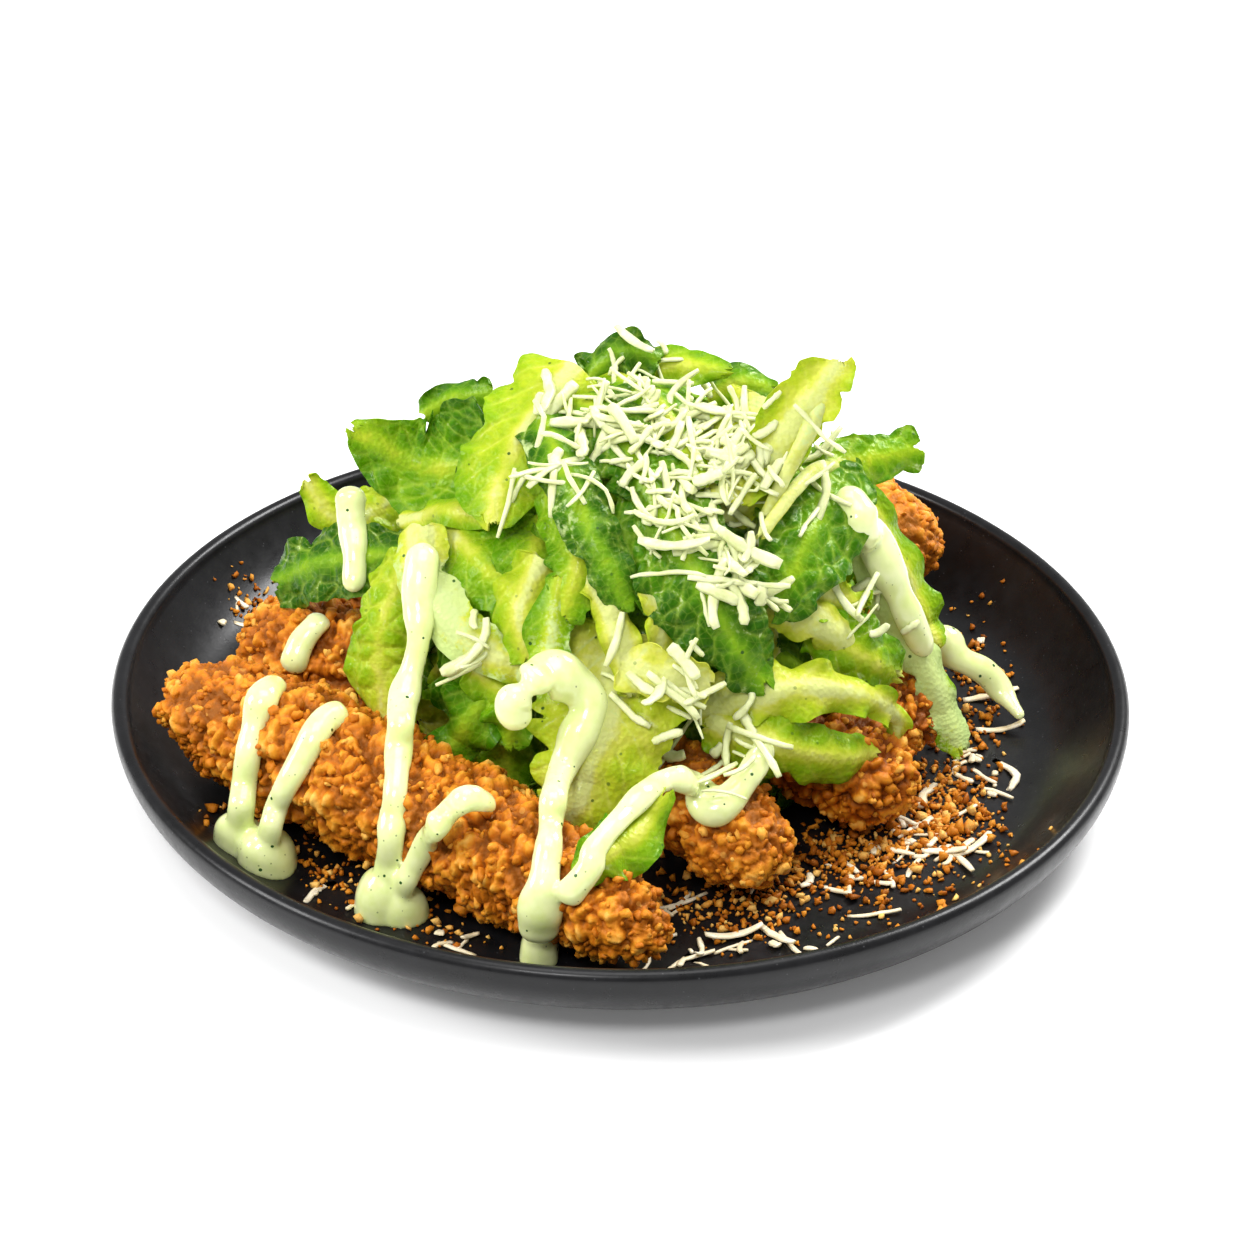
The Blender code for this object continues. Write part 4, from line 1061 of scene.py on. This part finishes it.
def pool_dome(x, y, radius, height, seed):
    """A pool: polar rings whose height falls as the root of one less the square of the share
    outwards, over a flat underside on the plate, with an uneven outline."""
    rings, sides = 14, 40
    share = np.linspace(0.05, 1, rings)[:, None]
    angle = np.linspace(0, math.tau, sides, endpoint=False)[None, :]
    spot = np.stack((np.cos(angle), np.sin(angle), 0 * angle), axis=-1)
    outline = radius * (1 + 0.14 * smooth_noise(spot, 0.9, seed))
    px, py = x + share * outline * np.cos(angle), y + share * outline * np.sin(angle)
    ground = plate_height(px, py)
    top = ground + height * np.sqrt(np.maximum(1 - share ** 2, 0)) + 0 * angle
    upper = np.stack((px, py, top), axis=-1)
    lower = np.stack((px, py, ground - 0.0006), axis=-1)[::-1]
    middle = plate_height(x, y)
    vertices = np.concatenate((upper.reshape(-1, 3), lower.reshape(-1, 3),
                               ((x, y, middle + height), (x, y, middle - 0.0006))))
    return vertices, (grid_faces(2 * rings, sides, wrap=True)[:, ::-1], end_faces(2 * rings, sides, True))


def make_dressing(surfaces, material):
    """All strands and pools, welded into one body by a voxel remesh and smoothed."""
    parts = []
    for seed, (points, radii) in enumerate(STRANDS):
        points = np.array(points, dtype=float) * MM
        steps = int(np.linalg.norm(np.diff(points, axis=0), axis=1).sum() / 0.0010) + 8
        share = np.linspace(0, 1, steps)
        path = settle(surfaces, through(points, share), STRAND_LIFT)
        radius = through(np.array(radii), share)[:, 0] * MM
        parts.append(strand_tube(path, radius, seed))
    for seed, (x, y, radius, height) in enumerate(POOLS):
        parts.append(pool_dome(x * MM, y * MM, radius * MM, height * MM, seed + 60))
    vertices, faces = joined(parts)
    piece = build_piece("herb_dressing_strands", vertices, faces, material)
    weld = piece.modifiers.new("weld_into_one", "REMESH")
    weld.mode = "VOXEL"
    weld.voxel_size = DRESSING_VOXEL
    weld.use_smooth_shade = True
    soften = piece.modifiers.new("soften", "SMOOTH")
    soften.factor = 0.5
    soften.iterations = DRESSING_SMOOTHING
    return piece


def shred_strips(centres, facings, rng, lengths, widths):
    """Grated shreds: each is a path bent by a random angle in the plane it lies in and a little out
    of it, with a flattened round section, a wavering width and two blunt ends."""
    count = len(centres)
    facings = unit(facings)
    start = unit(np.cross(facings, rng.normal(size=(count, 3))))
    across = np.cross(facings, start)
    share = np.linspace(-0.5, 0.5, SHRED_RINGS)[None, :]
    turn = rng.normal(0, 0.30, (count, 1)) * share * 2
    lift = rng.normal(0, 0.14, (count, 1)) * share ** 2 * 4
    kink = rng.normal(0, 0.22, (count, 1)) * (share > rng.uniform(-0.3, 0.3, (count, 1)))
    heading = turn + kink
    step = (lengths / (SHRED_RINGS - 1))[:, None, None]
    ahead = start[:, None] * np.cos(heading)[..., None] + across[:, None] * np.sin(heading)[..., None]
    path = np.cumsum(ahead * step, axis=1)
    path += centres[:, None] - path.mean(axis=1, keepdims=True)
    path += facings[:, None] * (lift * lengths[:, None] * 0.5)[..., None]
    side = unit(np.cross(ahead, facings[:, None]))
    over = np.cross(side, ahead)
    ends = 0.72 + 0.28 * np.sqrt(np.clip(1 - np.abs(2 * share) ** 8.0, 0, 1))
    girth = widths[:, None] / 2 * ends * (1 + 0.14 * rng.normal(size=(count, SHRED_RINGS)).clip(-1, 1))
    angle = np.linspace(0, math.tau, SHRED_SIDES, endpoint=False)
    thick = SHRED_THICKNESS / 2 + 0.12 * girth
    rings = (path[:, :, None] + girth[..., None, None] * side[:, :, None] * np.cos(angle)[:, None]
             + thick[..., None, None] * over[:, :, None] * np.sin(angle)[:, None])
    poles = path[:, (0, -1)]
    per = SHRED_RINGS * SHRED_SIDES + 2
    vertices = np.concatenate((rings.reshape(count, -1, 3), poles), axis=1)
    quads = grid_faces(SHRED_RINGS, SHRED_SIDES, wrap=True)
    tips = end_faces(SHRED_RINGS, SHRED_SIDES, False)
    offset = (np.arange(count) * per)[:, None, None]
    faces = ((quads[None] + offset).reshape(-1, 4), (tips[None] + offset).reshape(-1, 3))
    return vertices.reshape(-1, 3), faces


def make_heap_cheese(surfaces, material):
    """Shreds on the leaves: each is dropped where a line from the viewer's side or from above
    meets the food, and lies across it at a small height, so that they pile up loosely."""
    rng = np.random.default_rng(21)
    centres, facings = [], []
    for centre, spread_mm, count in CHEESE_HEAPS:
        for _ in range(count):
            aim = (np.array(centre) + rng.normal(0, spread_mm, 3)) * MM
            from_above = rng.uniform() < 0.35
            sight = np.array((0.0, 0.15, -1.0)) if from_above else unit(aim - CAMERA_AT)
            found = surfaces.hit(aim - unit(sight) * 0.08, unit(sight))
            if found is None or found[0][2] < 0.030:
                continue
            normal = found[1] if np.dot(found[1], sight) < 0 else -found[1]
            facing = unit(0.5 * normal - unit(sight) + (0, 0, 0.3))
            centres.append(found[0] + facing * rng.uniform(0.0004, 0.0024))
            facings.append(facing)
    count = len(centres)
    lengths = 0.0045 + 0.0135 * rng.uniform(size=count) ** 1.3
    widths = np.exp(rng.normal(-6.55, 0.36, count)).clip(0.0007, 0.0029)
    vertices, faces = shred_strips(np.array(centres), np.array(facings), rng, lengths, widths)
    return build_piece("grated_cheese_on_leaves", vertices, faces, material)


def patch_places(rng, patches):
    """Normally spread places on the plate in turned ellipses, as x and y in metres."""
    places = []
    for x, y, long, wide, turn, count in patches:
        angle = math.radians(turn)
        spot = rng.normal(size=(count, 2)).clip(-2.2, 2.2) * (long, wide) / 1.4
        places.append(np.stack((x + spot[:, 0] * math.cos(angle) - spot[:, 1] * math.sin(angle),
                                y + spot[:, 0] * math.sin(angle) + spot[:, 1] * math.cos(angle)), axis=-1))
    places = np.concatenate(places) * MM
    return places[np.hypot(*places.T) < PLATE_RADIUS - 0.007]


def make_plate_cheese(material):
    """Shreds lying on the plate."""
    rng = np.random.default_rng(8)
    places = patch_places(rng, CHEESE_PATCHES)
    count = len(places)
    lengths = 0.0016 + 0.0145 * rng.uniform(size=count) ** 1.7
    widths = np.exp(rng.normal(-6.50, 0.34, count)).clip(0.0008, 0.0026)
    height = plate_height(*places.T) + widths * 0.32
    centres = np.column_stack((places, height))
    facings = np.column_stack((-places * 2.0, np.ones(count)))
    vertices, faces = shred_strips(centres, facings, rng, lengths, widths)
    vertices[:, 2] = np.maximum(vertices[:, 2], plate_height(*vertices[:, :2].T) + 0.0001)
    return build_piece("grated_cheese_on_plate", vertices, faces, material)


def make_plate_crumbs(material):
    """Crumbs that fell on the plate: lumpy flaky grains of about 0.5 to 3 mm, in patches."""
    rng = np.random.default_rng(14)
    places = patch_places(rng, CRUMB_PATCHES)
    count = len(places)
    size = np.exp(rng.normal(-7.45, 0.42, (count, 1))).clip(0.00025, 0.0015)
    size = size * rng.uniform(0.55, 1.25, (count, 3))
    height = plate_height(*places.T) + size[:, 2] * 0.6
    shape, faces = grain_shape(2, 6, 4, 0.75)
    centres = np.column_stack((places, height))
    vertices, faces = scattered(shape, faces, centres, random_turns(rng, count), size)
    vertices[:, 2] = np.maximum(vertices[:, 2], plate_height(*vertices[:, :2].T) + 0.00005)
    per_grain = len(shape)
    marks = {"relief": np.repeat(rng.uniform(0.15, 0.95, count), per_grain),
             "gold": np.repeat(rng.uniform(0.0, 0.3, count), per_grain)}
    return build_piece("crumbs_on_plate", vertices, (faces,), material, marks=marks)


# ---------------------------------------------------------------- stage
def make_stage():
    """A plain pale floor."""
    size = 3.0
    vertices = np.array(((-size, -size, 0), (size, -size, 0), (size, size, 0), (-size, size, 0)))
    mesh = bpy.data.meshes.new("floor")
    mesh.from_pydata([tuple(corner) for corner in vertices], [], [(0, 1, 2, 3)])
    floor = bpy.data.objects.new("floor", mesh)
    bpy.context.scene.collection.objects.link(floor)
    material, tree = new_material("pale_floor")
    shader = put(tree, "ShaderNodeBsdfPrincipled", {
        "Base Color": (0.93, 0.93, 0.93, 1.0), "Roughness": 0.7, "Specular IOR Level": 0.2,
        "Emission Color": (1.0, 1.0, 1.0, 1.0), "Emission Strength": 0.08})
    close_material(tree, shader.outputs[0])
    mesh.materials.append(material)


def add_softbox(name, place, aim, size, power):
    """A square white area light at place that shines at aim."""
    light = bpy.data.lights.new(name, "AREA")
    light.shape = "SQUARE"
    light.size = size
    light.energy = power
    lamp = bpy.data.objects.new(name, light)
    lamp.location = place
    lamp.rotation_euler = (Vector(aim) - Vector(place)).to_track_quat("-Z", "Y").to_euler()
    bpy.context.scene.collection.objects.link(lamp)


def make_lights():
    """A soft key from the right and behind, one from the left, a small one from the front, a top
    light and a pale sky."""
    aim = (0.0, 0.0, 0.04)
    add_softbox("key_right_back", (0.55, 0.45, 0.80), aim, 0.40, 13.0)
    add_softbox("left", (-0.85, -0.20, 0.65), aim, 0.40, 8.0)
    add_softbox("front_glint", (-0.20, -0.75, 0.95), aim, 0.22, 4.5)
    add_softbox("top", (0.0, -0.05, 1.10), aim, 0.60, 5.0)
    world = bpy.data.worlds.new("pale_sky")
    world.use_nodes = True
    sky = world.node_tree.nodes["Background"]
    sky.inputs["Color"].default_value = (1.0, 1.0, 1.0, 1.0)
    sky.inputs["Strength"].default_value = 0.45
    bpy.context.scene.world = world


def make_camera():
    """The viewpoint: from the front and above, with a slight roll."""
    lens = bpy.data.cameras.new("camera")
    lens.lens = LENS
    lens.sensor_width = SENSOR
    camera = bpy.data.objects.new("camera", lens)
    turn = Vector(-VIEW_BACK).to_track_quat("-Z", "Y").to_matrix().to_4x4()
    camera.matrix_world = Matrix.Translation(CAMERA_AT) @ turn @ Matrix.Rotation(VIEW_ROLL, 4, "Z")
    bpy.context.scene.collection.objects.link(camera)
    bpy.context.scene.camera = camera


def main():
    """Builds everything around the frame."""
    make_camera()
    make_lights()
    make_stage()
    bpy.context.scene.view_settings.view_transform = "Standard"
    make_plate(plate_material())
    # The fried crumb's colours: the deepest is painted shade for the crevices as well as dark crumb, and the
    # palest is a painted highlight on the crests as well as pale crumb.
    brown_and_crevice_shade, body, crest, pale_and_crest_highlight = srgb(112, 44, 1), srgb(184, 96, 9), srgb(220, 142, 34), srgb(242, 188, 90)
    crumb = crumb_material("fried_crumb", brown_and_crevice_shade, body, crest, pale_and_crest_highlight)
    tenders = make_tenders(crumb)
    romaine = leaf_material()
    leaves = make_named_leaves(romaine)
    inner = make_inner_leaves(romaine)
    core = make_core(romaine)
    food = Surfaces(tenders + leaves + inner + [core])
    dressing = make_dressing(food, dressing_material())
    dressed = Surfaces(tenders + leaves + inner + [core, dressing])
    make_heap_cheese(dressed, cheese_material("grated_cheese", srgb(206, 213, 146), srgb(226, 230, 180)))
    make_plate_cheese(cheese_material("grated_cheese_dry", srgb(228, 208, 166), srgb(242, 230, 202)))
    make_plate_crumbs(crumb_material("toasted_crumb", srgb(118, 52, 2), srgb(178, 96, 10),
                                     srgb(212, 134, 34), srgb(236, 190, 104)))


main()
